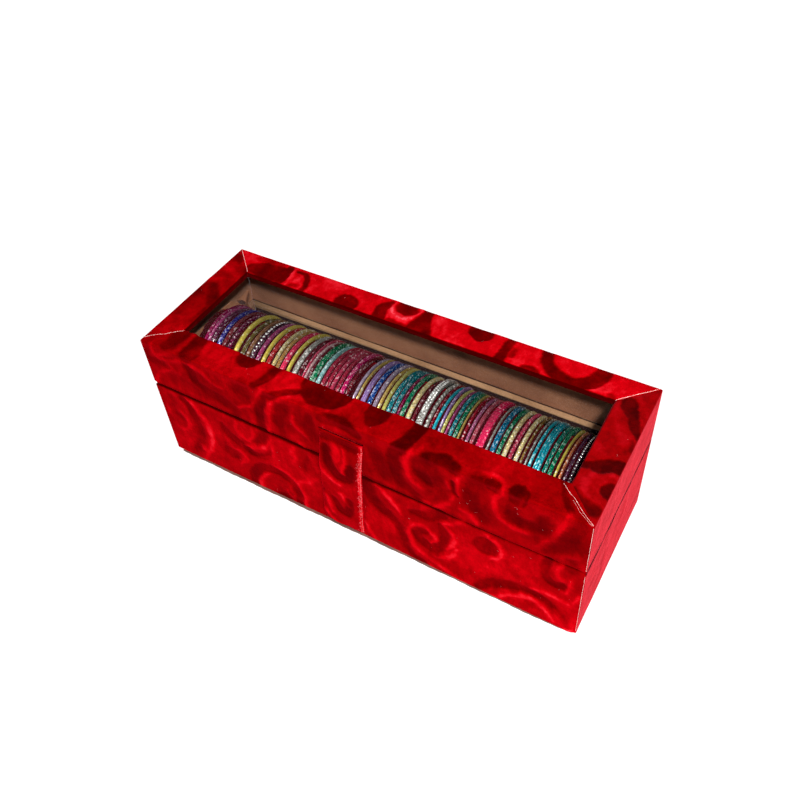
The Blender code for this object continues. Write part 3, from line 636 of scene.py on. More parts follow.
def bangle_material(name, colour, glitter, roughness, metallic):
    """Enamelled or foiled metal, with some flakes painted pale as glints."""
    nodes = Nodes(name)
    flake = nodes.split("ShaderNodeSeparateColor", nodes.voronoi(2300.0, "Color"))
    dark, light = shade(colour, 0.85 - 0.55 * glitter), shade(colour, 1.0 + 0.6 * glitter)
    tone = nodes.ramp(flake[0], (0.0, dark), (1.0, light))
    # Painted glints: a few flakes drawn pale
    limit = 1.0 - 0.05 * glitter * glitter
    flake_glints = nodes.ramp(flake[1], (limit - 0.005, 0.0), (limit, min(1.3 * glitter, 1.0)))
    made = nodes.mix(flake_glints, tone, paled(colour, 1.1, 0.45))
    made = nodes.speckled(made, nodes.noise(160.0, 4.0, 0.65), (0.3, 0.78), (0.65, 1.1))
    # Painted light: brighter and with more painted glints towards the front, where the light falls on the
    # bangles
    place = nodes.split("ShaderNodeSeparateXYZ", nodes.place())
    to_front = nodes.math("DIVIDE", nodes.math("SUBTRACT", 0.012, place["Y"]), 0.038, clamp=True)
    to_front = nodes.math("POWER", to_front, 2.0)
    front_painted_light = nodes.math("ADD", nodes.math("MULTIPLY", to_front, 1.85), 0.54)
    made = nodes.mix(1.0, made, front_painted_light, "MULTIPLY", True)
    # Larger painted glints, more of them towards the front
    glint = nodes.split("ShaderNodeSeparateColor", nodes.voronoi(1050.0, "Color"))
    painted_glints = nodes.math("ADD", glint[0], nodes.math("MULTIPLY", to_front, 0.32 * glitter))
    limit = 1.0 - 0.09 * glitter
    painted_glints = nodes.ramp(painted_glints, (limit - 0.01, 0.0), (limit, 1.0))
    strength = nodes.math("ADD", nodes.math("MULTIPLY", to_front, 0.7), 0.36)
    painted_glints = nodes.math("MULTIPLY", painted_glints, strength, clamp=True)
    made = nodes.mix(painted_glints, made, paled(colour, 1.1, 0.66))
    gloss = nodes.ramp(flake[2], (0.0, roughness * 0.75), (1.0, min(roughness * 1.35, 1.0)))
    return nodes.principled(
        Base_Color=made, Roughness=gloss, Metallic=metallic * metallic * 0.3, Specular_IOR_Level=0.22,
        Normal=nodes.bump(flake[1], 0.5 * glitter, 0.0003),
    )


def stone_material(name, colour):
    """Small cut glass stones with foil behind them, their facets drawn from dark to white as painted
    reflections.
    """
    nodes = Nodes(name)
    facet = nodes.split("ShaderNodeSeparateColor", nodes.voronoi(1500.0, "Color"))
    tone = nodes.ramp(facet[0], (0.0, shade(colour, 0.35)), (0.55, colour), (1.0, WHITE))
    return nodes.principled(
        Base_Color=tone, Roughness=0.12, Metallic=0.75, Coat_Weight=0.6, Coat_Roughness=0.05,
    )


def nylon_material(name):
    """Dark nylon tape with a fine weave."""
    nodes = Nodes(name)
    weave = nodes.noise(1500.0, 3.0, 0.7)
    colour = nodes.ramp(weave, (0.3, srgb(46, 12, 20)), (0.7, srgb(92, 30, 40)))
    return nodes.principled(
        Base_Color=colour, Roughness=0.62, Normal=nodes.bump(weave, 0.5, 0.0003),
        Sheen_Weight=0.25, Sheen_Roughness=0.4,
    )


def mesh_object(name, points, faces, material, smooth_angle=None, tone=None):
    """An object from points and faces, shaded smooth up to an angle in degrees."""
    mesh = bpy.data.meshes.new(name)
    mesh.from_pydata([tuple(point) for point in points], [], [tuple(face) for face in faces])
    if tone is not None:
        layer = mesh.attributes.new("tone", "FLOAT", "POINT")
        layer.data.foreach_set("value", np.asarray(tone, np.float32))
    mesh.materials.append(material)
    made = bpy.data.objects.new(name, mesh)
    bpy.context.collection.objects.link(made)
    clean(made, smooth_angle)
    return made


def clean(made, smooth_angle):
    """Merge doubled points, face all faces outwards and smooth the shading."""
    work = bmesh.new()
    work.from_mesh(made.data)
    bmesh.ops.remove_doubles(work, verts=work.verts, dist=MERGE)
    bmesh.ops.dissolve_degenerate(work, edges=work.edges, dist=MERGE)
    bmesh.ops.recalc_face_normals(work, faces=work.faces)
    work.to_mesh(made.data)
    work.free()
    if smooth_angle is not None:
        made.data.shade_smooth()
        made.data.set_sharp_from_angle(angle=math.radians(smooth_angle))


def ring_faces(stations, count, start=0, looped=False):
    """Quads between closed rings of points, with both ends capped, or the last ring joined to the first."""
    faces = []
    for station in range(stations if looped else stations - 1):
        first = start + station * count
        second = start + (station + 1) % stations * count
        for index in range(count):
            after = (index + 1) % count
            faces.append((first + index, first + after, second + after, second + index))
    if not looped:
        for cap in (start, start + (stations - 1) * count):
            faces.append(tuple(range(cap, cap + count)))
    return faces


def lofted(name, rings, material, smooth_angle=None, tone=None):
    """An object skinned over closed rings of points, with capped ends."""
    points = [point for ring in rings for point in ring]
    return mesh_object(name, points, ring_faces(len(rings), len(rings[0])), material, smooth_angle, tone)


def arc(centre, radius, start, end, steps):
    """Points along an arc, with its angles in degrees from the first axis."""
    points = []
    for step in range(steps + 1):
        angle = math.radians(start + (end - start) * step / steps)
        points.append((centre[0] + radius * math.cos(angle), centre[1] + radius * math.sin(angle)))
    return points


def resampled(path, spacing):
    """A path's points with more put between them, so that none are further apart than the spacing."""
    made = [path[0]]
    for first, second in itertools.pairwise(path):
        steps = max(1, math.ceil(math.dist(first, second) / spacing))
        for step in range(1, steps + 1):
            share = step / steps
            made.append(tuple(low + (high - low) * share for low, high in zip(first, second, strict=True)))
    return made


def curved(points, step=1.2):
    """A smooth line through points, as rows of numbers."""
    rows = np.array(points, float)
    if len(rows) < 3:
        return rows
    padded = np.vstack([2 * rows[0] - rows[1], rows, 2 * rows[-1] - rows[-2]])
    made = [rows[0]]
    for index in range(1, len(padded) - 2):
        before, first, second, after = padded[index - 1 : index + 3]
        steps = max(2, math.ceil(np.linalg.norm((second - first)[:2]) / step))
        for count in range(1, steps + 1):
            share = count / steps
            part = 2 * first + (second - before) * share
            part = part + (2 * before - 5 * first + 4 * second - after) * share**2
            part = part + (3 * first - before - 3 * second + after) * share**3
            made.append(part / 2)
    return np.array(made)


def beyond_edge(places, line):
    """How far each place lies outside a line whose half width varies. It is negative inside."""
    best = np.full(len(places), 1e9)
    for first, second in itertools.pairwise(line):
        along = second[:2] - first[:2]
        share = np.clip(((places - first[:2]) @ along) / max(along @ along, 1e-9), 0.0, 1.0)
        off = np.linalg.norm(places - (first[:2] + share[:, None] * along), axis=1)
        best = np.minimum(best, off - (first[2] + share * (second[2] - first[2])))
    return best


def near(places, line, margin):
    """Which places lie in the box round a line, with a margin."""
    low = (line[:, :2] - line[:, 2:3]).min(axis=0) - margin
    high = (line[:, :2] + line[:, 2:3]).max(axis=0) + margin
    return np.where(((places >= low) & (places <= high)).all(axis=1))[0]


def pressed_field(places, motifs):
    """How far the pile is pressed at each place, from 0 to 1."""
    field = np.zeros(len(places))
    for strength, softness, *points in motifs:
        line = curved(points)
        chosen = near(places, line, softness)
        inside = strength * smoothstep(softness, -softness, beyond_edge(places[chosen], line))
        field[chosen] = np.maximum(field[chosen], inside)
    return field


def rim_field(places, motifs):
    """How far the pile stands up in a rim at each place, from 0 to 1. The tone draws it pale, as painted
    highlight.
    """
    field = np.zeros(len(places))
    for strength, *points in motifs:
        line = curved(points)
        chosen = near(places, line, RIM_HIGHLIGHT_REACH)
        width = float(np.maximum(line[:, 2], THINNEST_RIM).mean())
        off = beyond_edge(places[chosen], line)
        core = smoothstep(0.3, -0.75 * width, off)
        glow = smoothstep(RIM_HIGHLIGHT_REACH, -width, off)
        field[chosen] = np.maximum(field[chosen], strength * (0.5 * core + 0.5 * glow))
    return field


def cloud(places, scale, seed):
    """Smooth random values from -1 to 1 over places, with blobs of about this size."""
    lattice = np.random.default_rng(seed).uniform(-1, 1, (LATTICE, LATTICE))
    spots = places / scale
    cell = np.floor(spots).astype(int)
    share = spots - cell
    share = share * share * (3 - 2 * share)
    column, row = cell[:, 0] % LATTICE, cell[:, 1] % LATTICE
    after, above = (column + 1) % LATTICE, (row + 1) % LATTICE
    lower = lattice[column, row] * (1 - share[:, 0]) + lattice[after, row] * share[:, 0]
    upper = lattice[column, above] * (1 - share[:, 0]) + lattice[after, above] * share[:, 0]
    return lower * (1 - share[:, 1]) + upper * share[:, 1]


def ruffled(places, seed):
    """Places shifted a little this way and that, so that what is drawn over them gets soft, uneven edges."""
    wide = np.column_stack([cloud(places, 6.0, seed), cloud(places, 6.0, seed + 1)])
    fine = np.column_stack([cloud(places, 1.7, seed + 2), cloud(places, 1.7, seed + 3)])
    return places + 0.7 * wide + 0.38 * fine


def wall_places(side, along, up):
    """Where a wall's points read the front's motifs. The other walls have the same cloth, cut elsewhere."""
    if side == "back":
        return np.column_stack([LENGTH_MM - along, up])
    shift = {"front": 0.0, "left": LEFT_SHIFT, "right": RIGHT_SHIFT}[side]
    return np.column_stack([along + shift, up])


def parting_rise(x, y, spread):
    """How far the parting line lies above its mean height. spread is 1 in the lid and -1 in the base."""
    from_left = (x + LENGTH / 2) / MM
    share = np.clip(0.5 - y / DEPTH, 0.0, 1.0)
    rise = interpolated(PARTING_RISE, from_left) + spread * interpolated(PARTING_OPENING, from_left)
    return rise * MM * share


def hem_droop(x):
    """How far the front's hem hangs below the others, at places along the box in metres."""
    return interpolated(HEM_DROOP, (x + LENGTH / 2) / MM) * MM


def warped(points, spread):
    """Shift the heights of points so that the parting line runs as it does on the box's front."""
    height = points[:, 2]
    reach = np.where(height > HINGE_HEIGHT, STRAIGHT_ABOVE - HINGE_HEIGHT, HINGE_HEIGHT - STRAIGHT_BELOW)
    weight = np.clip(1.0 - np.abs(height - HINGE_HEIGHT) / reach, 0.0, 1.0)
    moved = points.copy()
    moved[:, 2] += weight * parting_rise(points[:, 0], points[:, 1], spread)
    at_hem = smoothstep(0.0042, 0.0020, height) * smoothstep(0.0040, 0.0026, points[:, 1] + DEPTH / 2)
    moved[:, 2] -= at_hem * hem_droop(points[:, 0])
    return moved


# How much darker the pressed pile is, and how much lighter the rims are drawn as painted highlight, on a
# scale of one
PRESSED_TONE = 0.36
TOP_PRESSED_TONES = {"front": 0.40, "back": 0.54, "left": 0.36, "right": 0.42}
RIM_TONE = 0.33

# How much darker painted shade makes the pile where it turns into the parting's gap or under the window's
# edge, and the tone of the cloth's back
GAP_SHADE_TONE = 0.6
CLOTH_BACK_TONE = 0.3

# How far a rim's painted highlight reaches, and the least half width that it is drawn with, in mm
RIM_HIGHLIGHT_REACH = 2.6
THINNEST_RIM = 0.4

# Share of a rim that is lost where the pile is pressed, and of the drawing that shows on the right wall
RIM_LOST = 0.35
RIGHT_SOFTENED = 0.22

# How much lighter each side is drawn, on the top and on the wall. The right wall's lift is painted sheen, of
# light grazing it
SIDE_TONES = {"front": (-0.03, -0.03), "back": (0.16, 0.0), "left": (-0.12, 0.0), "right": (-0.12, 0.12)}

# Shift that takes places of the other sides clear of the front's broad parts
OFF_FRONT = 1000.0

# Broad lighter and darker parts of the front's pile: (amount, softness, (x, height, half width), ...)
FRONT_BROAD = (
    (-0.13, 8, (0, 82, 12), (120, 82, 12)),
    (-0.13, 8, (160, 80, 12), (285, 80, 12)),
    (0.09, 6, (40, 110, 8), (110, 108, 7)),
    (0.06, 5, (60, 112, 4), (75, 112, 4)),
    (-0.14, 8, (12, 106, 12), (30, 116, 10)),
    (-0.10, 8, (150, 110, 12), (280, 110, 12)),
    (0.10, 8, (215, 30, 14), (250, 38, 14)),
    (0.08, 6, (150, 22, 8), (168, 18, 8)),
    (0.10, 6, (70, 52, 5), (90, 30, 4)),
    (-0.08, 6, (4, 70, 6), (4, 20, 5)),
    (0.08, 6, (40, 40, 6), (46, 10, 6)),
)


def broad_field(places, on_top):
    """Broad differences of tone on the front. Places beyond it keep 0, apart from a light top."""
    field = 0.06 * on_top
    for amount, softness, *points in FRONT_BROAD:
        line = curved(points)
        chosen = near(places, line, softness)
        field[chosen] += amount * smoothstep(softness, -softness, beyond_edge(places[chosen], line))
    return field


def lower_right_sheen(x, y, z):
    """Painted sheen on the front's lower right, strongest towards the right corner, from 0 to 1."""
    front = smoothstep(-46.0, -49.0, y)
    low_right = smoothstep(60.0, 140.0, x) * smoothstep(34.0, 4.0, z)
    corner = smoothstep(118.0, 141.0, x) * smoothstep(30.0, 8.0, z)
    return front * np.clip(0.08 * low_right + 0.14 * corner, 0.0, 0.8)


def corner_place(depth, angle):
    """Where a layer at this depth runs round the box's vertical edge: (setback along the side, depth)."""
    if depth >= CORNER_ROUND:
        return depth, depth
    radius = CORNER_ROUND - depth
    return CORNER_ROUND - radius * math.sin(angle), CORNER_ROUND - radius * math.cos(angle)


class Pile:
    """The pile over one side's cloth: where each point lies, and how far it is pressed or raised."""

    def __init__(self, side, spread, rest, along, up, lift, inward):
        """rest holds the points in metres, along and up where they lie on the unfolded cloth in mm."""
        self.side, self.spread, self.inward = side, spread, inward
        self.rest, self.along, self.up = rest, along, up
        self.from_parting = np.abs(rest[:, 2] - lift - HINGE_HEIGHT)
        self.seed = FIRST_SEED + SEED_STEP * list(SIDES).index(side)
        self.spots = np.column_stack([along, up])
        self.wall = wall_places(side, along, up)
        self.on_top = smoothstep(HEIGHT - 0.0010, HEIGHT - 0.0001, rest[:, 2])
        drawn = ruffled(self.wall, self.seed)
        pressed = pressed_field(drawn, FRONT_PRESSED)
        rims = rim_field(drawn, FRONT_RIMS)
        if side != "front":
            plan = np.column_stack([rest[:, 0] + LENGTH / 2, rest[:, 1] + DEPTH / 2]) / MM
            plan = ruffled(plan, TOP_SEED)
            on_wall = (RIGHT_SOFTENED if side == "right" else 1.0) * (1 - self.on_top)
            pressed = pressed * on_wall + pressed_field(plan, TOP_PRESSED[side]) * self.on_top
            rims = rims * on_wall + rim_field(plan, TOP_RIMS[side]) * self.on_top
        self.rims = rims * (1 - RIM_LOST * pressed) * np.clip(0.88 + 0.30 * self.blobs(5.5, 4), 0.4, 1.2)
        uneven = 0.80 + 0.34 * self.blobs(7.0, 5)
        patchy = np.clip(uneven, 0.4, 1.0) * (1 - self.on_top)
        self.pressed = pressed * (patchy + np.clip(uneven + 0.15, 0.7, 1.0) * self.on_top)

    def blobs(self, size, step, stretch=(1.0, 1.0)):
        """Random blobs over the unfolded cloth."""
        return cloud(self.spots * stretch, size, self.seed + step)

    def relief(self):
        """How far each point stands out, in metres."""
        height = self.rest[:, 2]
        from_front = np.abs(self.rest[:, 1] + DEPTH / 2)
        swell = self.blobs(24.0, 6) + 0.5 * self.blobs(9.0, 7)
        relief = RIM_RAISE * self.rims - PRESSED_DEPTH * self.pressed + SWELL * swell
        if self.side == "front" and self.spread > 0:
            bulge = smoothstep(100.0, 30.0, self.along) * smoothstep(76.0, 66.0, self.up)
            relief = relief + LID_BULGE * bulge
        relief = relief * smoothstep(0.0008, 0.0045, height)
        if self.side == "front" and self.spread < 0:
            low_right = smoothstep(120.0, 250.0, self.along) * smoothstep(0.024, 0.003, height)
            relief = relief + HEM_SWELL * low_right * smoothstep(0.0030, 0.0010, from_front)
        at_top_edge = smoothstep(0.0050, 0.0015, self.inward)
        at_top_edge = at_top_edge * smoothstep(HEIGHT - 0.0050, HEIGHT - 0.0015, height)
        relief = relief * (1 - 0.75 * at_top_edge)
        if self.side == "back":
            relief = np.minimum(relief, HINGE_CLEARANCE * np.abs(height - HINGE_HEIGHT))
        return relief

    def tone(self):
        """How light the pile is, on a scale of one, with painted highlight, sheen and shade in it."""
        on_top, on_wall = self.on_top, 1 - self.on_top
        is_front = self.side == "front"
        tone = 0.5 + broad_field(self.wall if is_front else self.wall + OFF_FRONT, on_top)
        pressed_tone = PRESSED_TONE + (TOP_PRESSED_TONES[self.side] - PRESSED_TONE) * on_top
        tone = tone - pressed_tone * self.pressed
        # The rims are drawn lighter: painted highlight
        tone = tone + RIM_TONE * self.rims * (1 - 0.25 * on_top)
        tone = tone + 0.05 * self.blobs(3.0, 8, (1.0, 0.35)) + 0.05 * self.blobs(13.0, 9)
        # Painted sheen on the front's lower right
        tone = tone + lower_right_sheen(*(self.rest / MM).T)
        # The right wall's lift is painted sheen
        top_tone, wall_tone = SIDE_TONES[self.side]
        tone = tone + top_tone * on_top + wall_tone * on_wall
        shaded = interpolated(PARTING_SHADE, self.along) if is_front else 1.0
        # Painted shade where the pile turns into the parting's gap and on the window's inner lip
        rim_gap_shade = smoothstep(0.0001, 0.0008, self.inward) * smoothstep(0.0060, 0.0040, self.from_parting)
        window_lip_shade = smoothstep(FRAME_WIDTH - 0.0009, FRAME_WIDTH - 0.0002, self.inward)
        tone = tone - GAP_SHADE_TONE * np.maximum(rim_gap_shade * shaded, window_lip_shade)
        # Painted shade along the parting: on the lid's lower edge and on the base's top edge
        from_parting = self.from_parting / MM
        if self.spread > 0:
            tone = tone - 0.34 * shaded * smoothstep(3.4, 0.2, from_parting) * on_wall
        else:
            tone = tone - 0.24 * shaded * smoothstep(1.8, 0.3, from_parting)
        # Painted shade: a ragged dark band along the right wall's parting crease
        if self.side == "right":
            ragged = 1.9 + 1.2 * self.blobs(3.0, 11)
            tone = tone - GAP_SHADE_TONE * smoothstep(ragged + 1.0, ragged, from_parting)
        return tone


def panel_stations(run, spacing):
    """Where a side's rings stand: the share of its half length, and the angle round the box's corner."""
    steps = math.ceil(run / spacing)
    turns = [math.pi / 4 * step / CORNER_STEPS for step in range(1, CORNER_STEPS + 1)]
    stations = [(-1.0, angle) for angle in reversed(turns)]
    stations += [(-1.0 + 2.0 * step / steps, 0.0) for step in range(steps + 1)]
    return stations + [(1.0, angle) for angle in turns]


def velvet_panel(name, side, path, closing, spread, material):
    """Velvet round one side of the base or lid, from its outer path and the points that close it behind."""
    turn, run, across = SIDES[side]
    outer = resampled(path, SPACING)
    ring = np.array(outer + closing)
    count = len(outer)
    outer = np.array(outer)
    tangent = np.gradient(outer, axis=0)
    tangent /= np.linalg.norm(tangent, axis=1)[:, None]
    normal = np.column_stack([-tangent[:, 1], tangent[:, 0]])
    travelled = np.concatenate([[0.0], np.cumsum(np.linalg.norm(np.diff(outer, axis=0), axis=1))])
    on_wall = np.where((outer[:, 0] < 1e-6) & (outer[:, 1] > 0.01) & (outer[:, 1] < 0.095))[0][0]
    unfolded = travelled - travelled[on_wall] + outer[on_wall, 1]
    end_fade = smoothstep(0.0, END_FADE, travelled) * smoothstep(0.0, END_FADE, travelled[-1] - travelled)

    stations = panel_stations(run, SPACING)
    flat = np.zeros((len(stations), len(ring), 2))
    along = np.zeros((len(stations), len(ring)))
    for row, (share, angle) in enumerate(stations):
        for column, (depth, height) in enumerate(ring):
            setback, placed_depth = corner_place(depth, angle)
            along[row, column] = (run / 2 - SEAM_SETBACK - setback) * share
            flat[row, column] = (placed_depth, height)
    from_end = run / 2 - np.maximum(ring[:, 0], 0.0)[None, :] - np.abs(along)
    fade = smoothstep(0.0006, 0.0035, from_end[:, :count]) * end_fade[None, :]

    def placed(spots):
        local = np.stack([along, spots[..., 0] - across / 2, spots[..., 1]], axis=-1).reshape(-1, 3)
        cosine, sine = math.cos(turn), math.sin(turn)
        x = local[:, 0] * cosine - local[:, 1] * sine
        y = local[:, 0] * sine + local[:, 1] * cosine
        return warped(np.column_stack([x, y, local[:, 2]]), spread)

    rest = placed(flat).reshape(len(stations), len(ring), 3)[:, :count].reshape(-1, 3)
    lift = rest[:, 2] - np.tile(outer[:, 1], len(stations))
    along_mm = ((along[:, :count] + run / 2) / MM).ravel()
    up_mm = (np.tile(unfolded, len(stations)) + lift) / MM
    pile = Pile(side, spread, rest, along_mm, up_mm, lift, np.tile(outer[:, 0], len(stations)))
    relief = (pile.relief().reshape(len(stations), count) * fade)[..., None]
    flat[:, :count] += relief * normal[None, :, :]
    tone = np.full((len(stations), len(ring)), CLOTH_BACK_TONE)
    tone[:, :count] = pile.tone().reshape(len(stations), count)
    points = placed(flat)
    points[:, 2] = np.maximum(points[:, 2], LOWEST)
    return mesh_object(name, points, ring_faces(len(stations), len(ring)), material, 70, tone.ravel())


def lid_velvet(side, material):
    """Velvet of one side of the lid: turned in at the rim, over the top edge and down round the window."""
    top_edge = arc((TOP_ROUND, HEIGHT - TOP_ROUND), TOP_ROUND, 180, 90, 6)
    window_edge = arc((FRAME_WIDTH - WINDOW_ROUND, HEIGHT - WINDOW_ROUND), WINDOW_ROUND, 90, 0, 4)
    inside = FRAME_WIDTH - VELVET
    closing = [(inside, FRAME_UNDERSIDE), (inside, HEIGHT - VELVET), (TOP_ROUND, HEIGHT - VELVET)]
    closing += [(VELVET, HEIGHT - TOP_ROUND)]
    if side == "back":
        bottom = LID_RIM_HEIGHT + HINGE_REACH + GAP
        start = [(0.0, bottom)]
        closing += [(VELVET, bottom)]
    else:
        start = [(INNER_DEPTH, LID_RIM_HEIGHT)]
        start += arc((RIM_ROUND, LID_RIM_HEIGHT + RIM_ROUND), RIM_ROUND, 270, 180, 4)
        closing += [(VELVET, LID_RIM_HEIGHT + VELVET), (INNER_DEPTH, LID_RIM_HEIGHT + VELVET)]
    path = start + top_edge + window_edge + [(FRAME_WIDTH, FRAME_UNDERSIDE)]
    made = velvet_panel("velvet_lid_" + side, side, path, closing, 1.0, material)
    settle(made, "lid", "velvet_red", "lid_velvet_" + side)


def base_velvet(side, material):
    """Velvet of one side of the base: turned in under the bottom and over the rim."""
    hem = arc((HEM_ROUND, HEM_HEIGHT + HEM_ROUND), HEM_ROUND, 270, 180, 4)
    under = HEM_HEIGHT + VELVET
    if side == "back":
        top = RIM_HEIGHT - HINGE_REACH - GAP
        rim = [(0.0, top)]
        closing = [(VELVET, top)]
    else:
        rim = arc((RIM_ROUND, RIM_HEIGHT - RIM_ROUND), RIM_ROUND, 180, 90, 4) + [(INNER_DEPTH, RIM_HEIGHT)]
        closing = [(INNER_DEPTH, RIM_HEIGHT - VELVET), (VELVET, RIM_HEIGHT - VELVET)]
    closing += [(VELVET, under), (TURN_IN, under)]
    path = [(TURN_IN, HEM_HEIGHT)] + hem + rim
    made = velvet_panel("velvet_base_" + side, side, path, closing, -1.0, material)
    settle(made, "base", "velvet_red", "base_velvet_" + side)


def hinge_cloth(material):
    """The strip of cloth that joins the lid to the base along the back."""
    bottom = RIM_HEIGHT - HINGE_REACH
    top = LID_RIM_HEIGHT + HINGE_REACH
    path = [(0.0, bottom), (0.0, HINGE_HEIGHT), (0.0, top)]
    closing = resampled([(VELVET, top), (VELVET, bottom)], SPACING)
    made = velvet_panel("velvet_hinge", "back", path, closing, 0.0, material)
    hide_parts("hinge_cloth")
    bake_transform(made)


def warped_copy(node, body, slot, spread, material):
    """A board or lining whose rim follows the parting line, in place of its straight CAD node."""
    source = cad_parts[node]
    made = bpy.data.objects.new("fitted_" + node, source.data.copy())
    bpy.context.collection.objects.link(made)
    made.matrix_world = source.matrix_world.copy()
    bpy.context.view_layer.update()
    made.data.transform(made.matrix_world)
    made.matrix_world = Matrix.Identity(4)
    work = bmesh.new()
    work.from_mesh(made.data)
    for axis, size, cuts in ((0, LENGTH, CUTS_ALONG), (1, DEPTH, CUTS_ACROSS)):
        direction = Vector((0.0, 0.0, 0.0))
        direction[axis] = 1.0
        for cut in range(1, cuts):
            place = direction * (size * cut / cuts - size / 2)
            geometry = list(work.verts) + list(work.edges) + list(work.faces)
            bmesh.ops.bisect_plane(work, geom=geometry, plane_co=place, plane_no=direction)
    points = warped(np.array([tuple(vert.co) for vert in work.verts]), spread)
    for vert, point in zip(work.verts, points, strict=True):
        vert.co = point
    work.to_mesh(made.data)
    work.free()
    coat(made, material)
    settle(made, body, slot, node)


def coat(made, material):
    """Give an object this material alone."""
    made.data.materials.clear()
    made.data.materials.append(material)


def tube(name, line, radii, material, sides=6, flatten=1.0):
    """A tube along points in metres, with a radius at each. flatten squeezes it in height."""
    rings = []
    for index, centre in enumerate(line):
        before = line[max(index - 1, 0)]
        after = line[min(index + 1, len(line) - 1)]
        direction = (Vector(after) - Vector(before)).normalized()
        across = direction.cross(Vector((0.0, 0.0, 1.0)))
        if across.length < 0.3:
            across = direction.cross(Vector((0.0, 1.0, 0.0)))
        across.normalize()
        upward = across.cross(direction).normalized()
        ring = []
        for side in range(sides):
            angle = 2 * math.pi * side / sides
            offset = across * math.cos(angle) + upward * (math.sin(angle) * flatten)
            ring.append(Vector(centre) + offset * radii[index])
        rings.append(ring)
    return lofted(name, rings, material, 80)


def any_way(source):
    """A random way in space."""
    return Vector([source.uniform(-1, 1) for _ in range(3)])


def thread_edge(name, points, half_width, body, material, seed, normal=(0.0, 0.0, 1.0)):
    """A cut cloth edge: a lumpy line of threads with loose ends. points are in metres."""
    source = random.Random(seed)
    line = curved(points, 0.0005)
    radii = [half_width * (0.65 + 0.6 * source.random()) for _ in line]
    wander = [any_way(source) for _ in line]
    shifted = [Vector(point) + jitter * half_width * 0.3 for point, jitter in zip(line, wander, strict=True)]
    pieces = [tube(name, shifted, radii, material, 6, 0.8)]
    for index in range(0, len(line), 4):
        root = Vector(shifted[index])
        tip = root + (any_way(source) + Vector(normal) * 0.5) * half_width * 2.2
        middle = (root + tip) / 2 + Vector(normal) * half_width * 0.5
        pieces.append(tube(name + "_end", [root, middle, tip], [half_width * 0.22] * 3, material, 4))
    settle(joined(pieces, name), body, "velvet_red")


def joined(pieces, name):
    """One object from several meshes."""
    work = bmesh.new()
    materials = []
    for piece in pieces:
        start = len(work.faces)
        piece.data.transform(piece.matrix_world)
        work.from_mesh(piece.data)
        work.faces.ensure_lookup_table()
        for face in work.faces[start:]:
            material = piece.data.materials[face.material_index]
            if material not in materials:
                materials.append(material)
            face.material_index = materials.index(material)
    mesh = bpy.data.meshes.new(name)
    work.to_mesh(mesh)
    work.free()
    for material in materials:
        mesh.materials.append(material)
    for piece in pieces:
        bpy.data.objects.remove(piece, do_unlink=True)
    mesh.shade_smooth()
    mesh.set_sharp_from_angle(angle=math.radians(JOINED_ANGLE))
    made = bpy.data.objects.new(name, mesh)
    bpy.context.collection.objects.link(made)
    return made


# The closing tab, as in the part: width, thickness, reach and bow
TAB_WIDTH = 0.0275
TAB_THICKNESS = 0.0018
TAB_HINGE = 0.0845
TAB_TOP = 0.0885
TAB_BOTTOM = 0.0050
TAB_LOWEST = 0.0062
TAB_CORNER = 0.0040
TAB_LEAN = 0.0053
TAB_BOW = 0.0022
TAB_BOW_SHARES = (
    (-0.1, 0.0), (0.0, 0.0), (0.06, 0.2), (0.14, 0.6), (0.22, 0.9),
    (0.3, 1.0), (0.84, 1.0), (0.92, 0.8), (1.0, 0.4),
)
TAB_SPACING = 0.0007
TAB_COLUMNS = 38
TAB_EDGE_WIDTH = 0.0009
TAB_EDGE_DROP = 0.0006
TAB_TONE = 0.43

# A place far from every motif, for the tab's back
NO_MOTIF = (0.0, -50.0)

# The slit above the tab: points along it, and how far it reaches past the tab's left edge
SLIT_STEPS = 23
SLIT_PAST = 0.04


def tab_place(height):
    """The middle of the tab and its back face at a height: (x, y)."""
    down = (TAB_HINGE - height) / (TAB_HINGE - TAB_BOTTOM)
    bow = TAB_BOW * float(interpolated(TAB_BOW_SHARES, down))
    return -TAB_LEAN * down, -DEPTH / 2 - GAP - bow


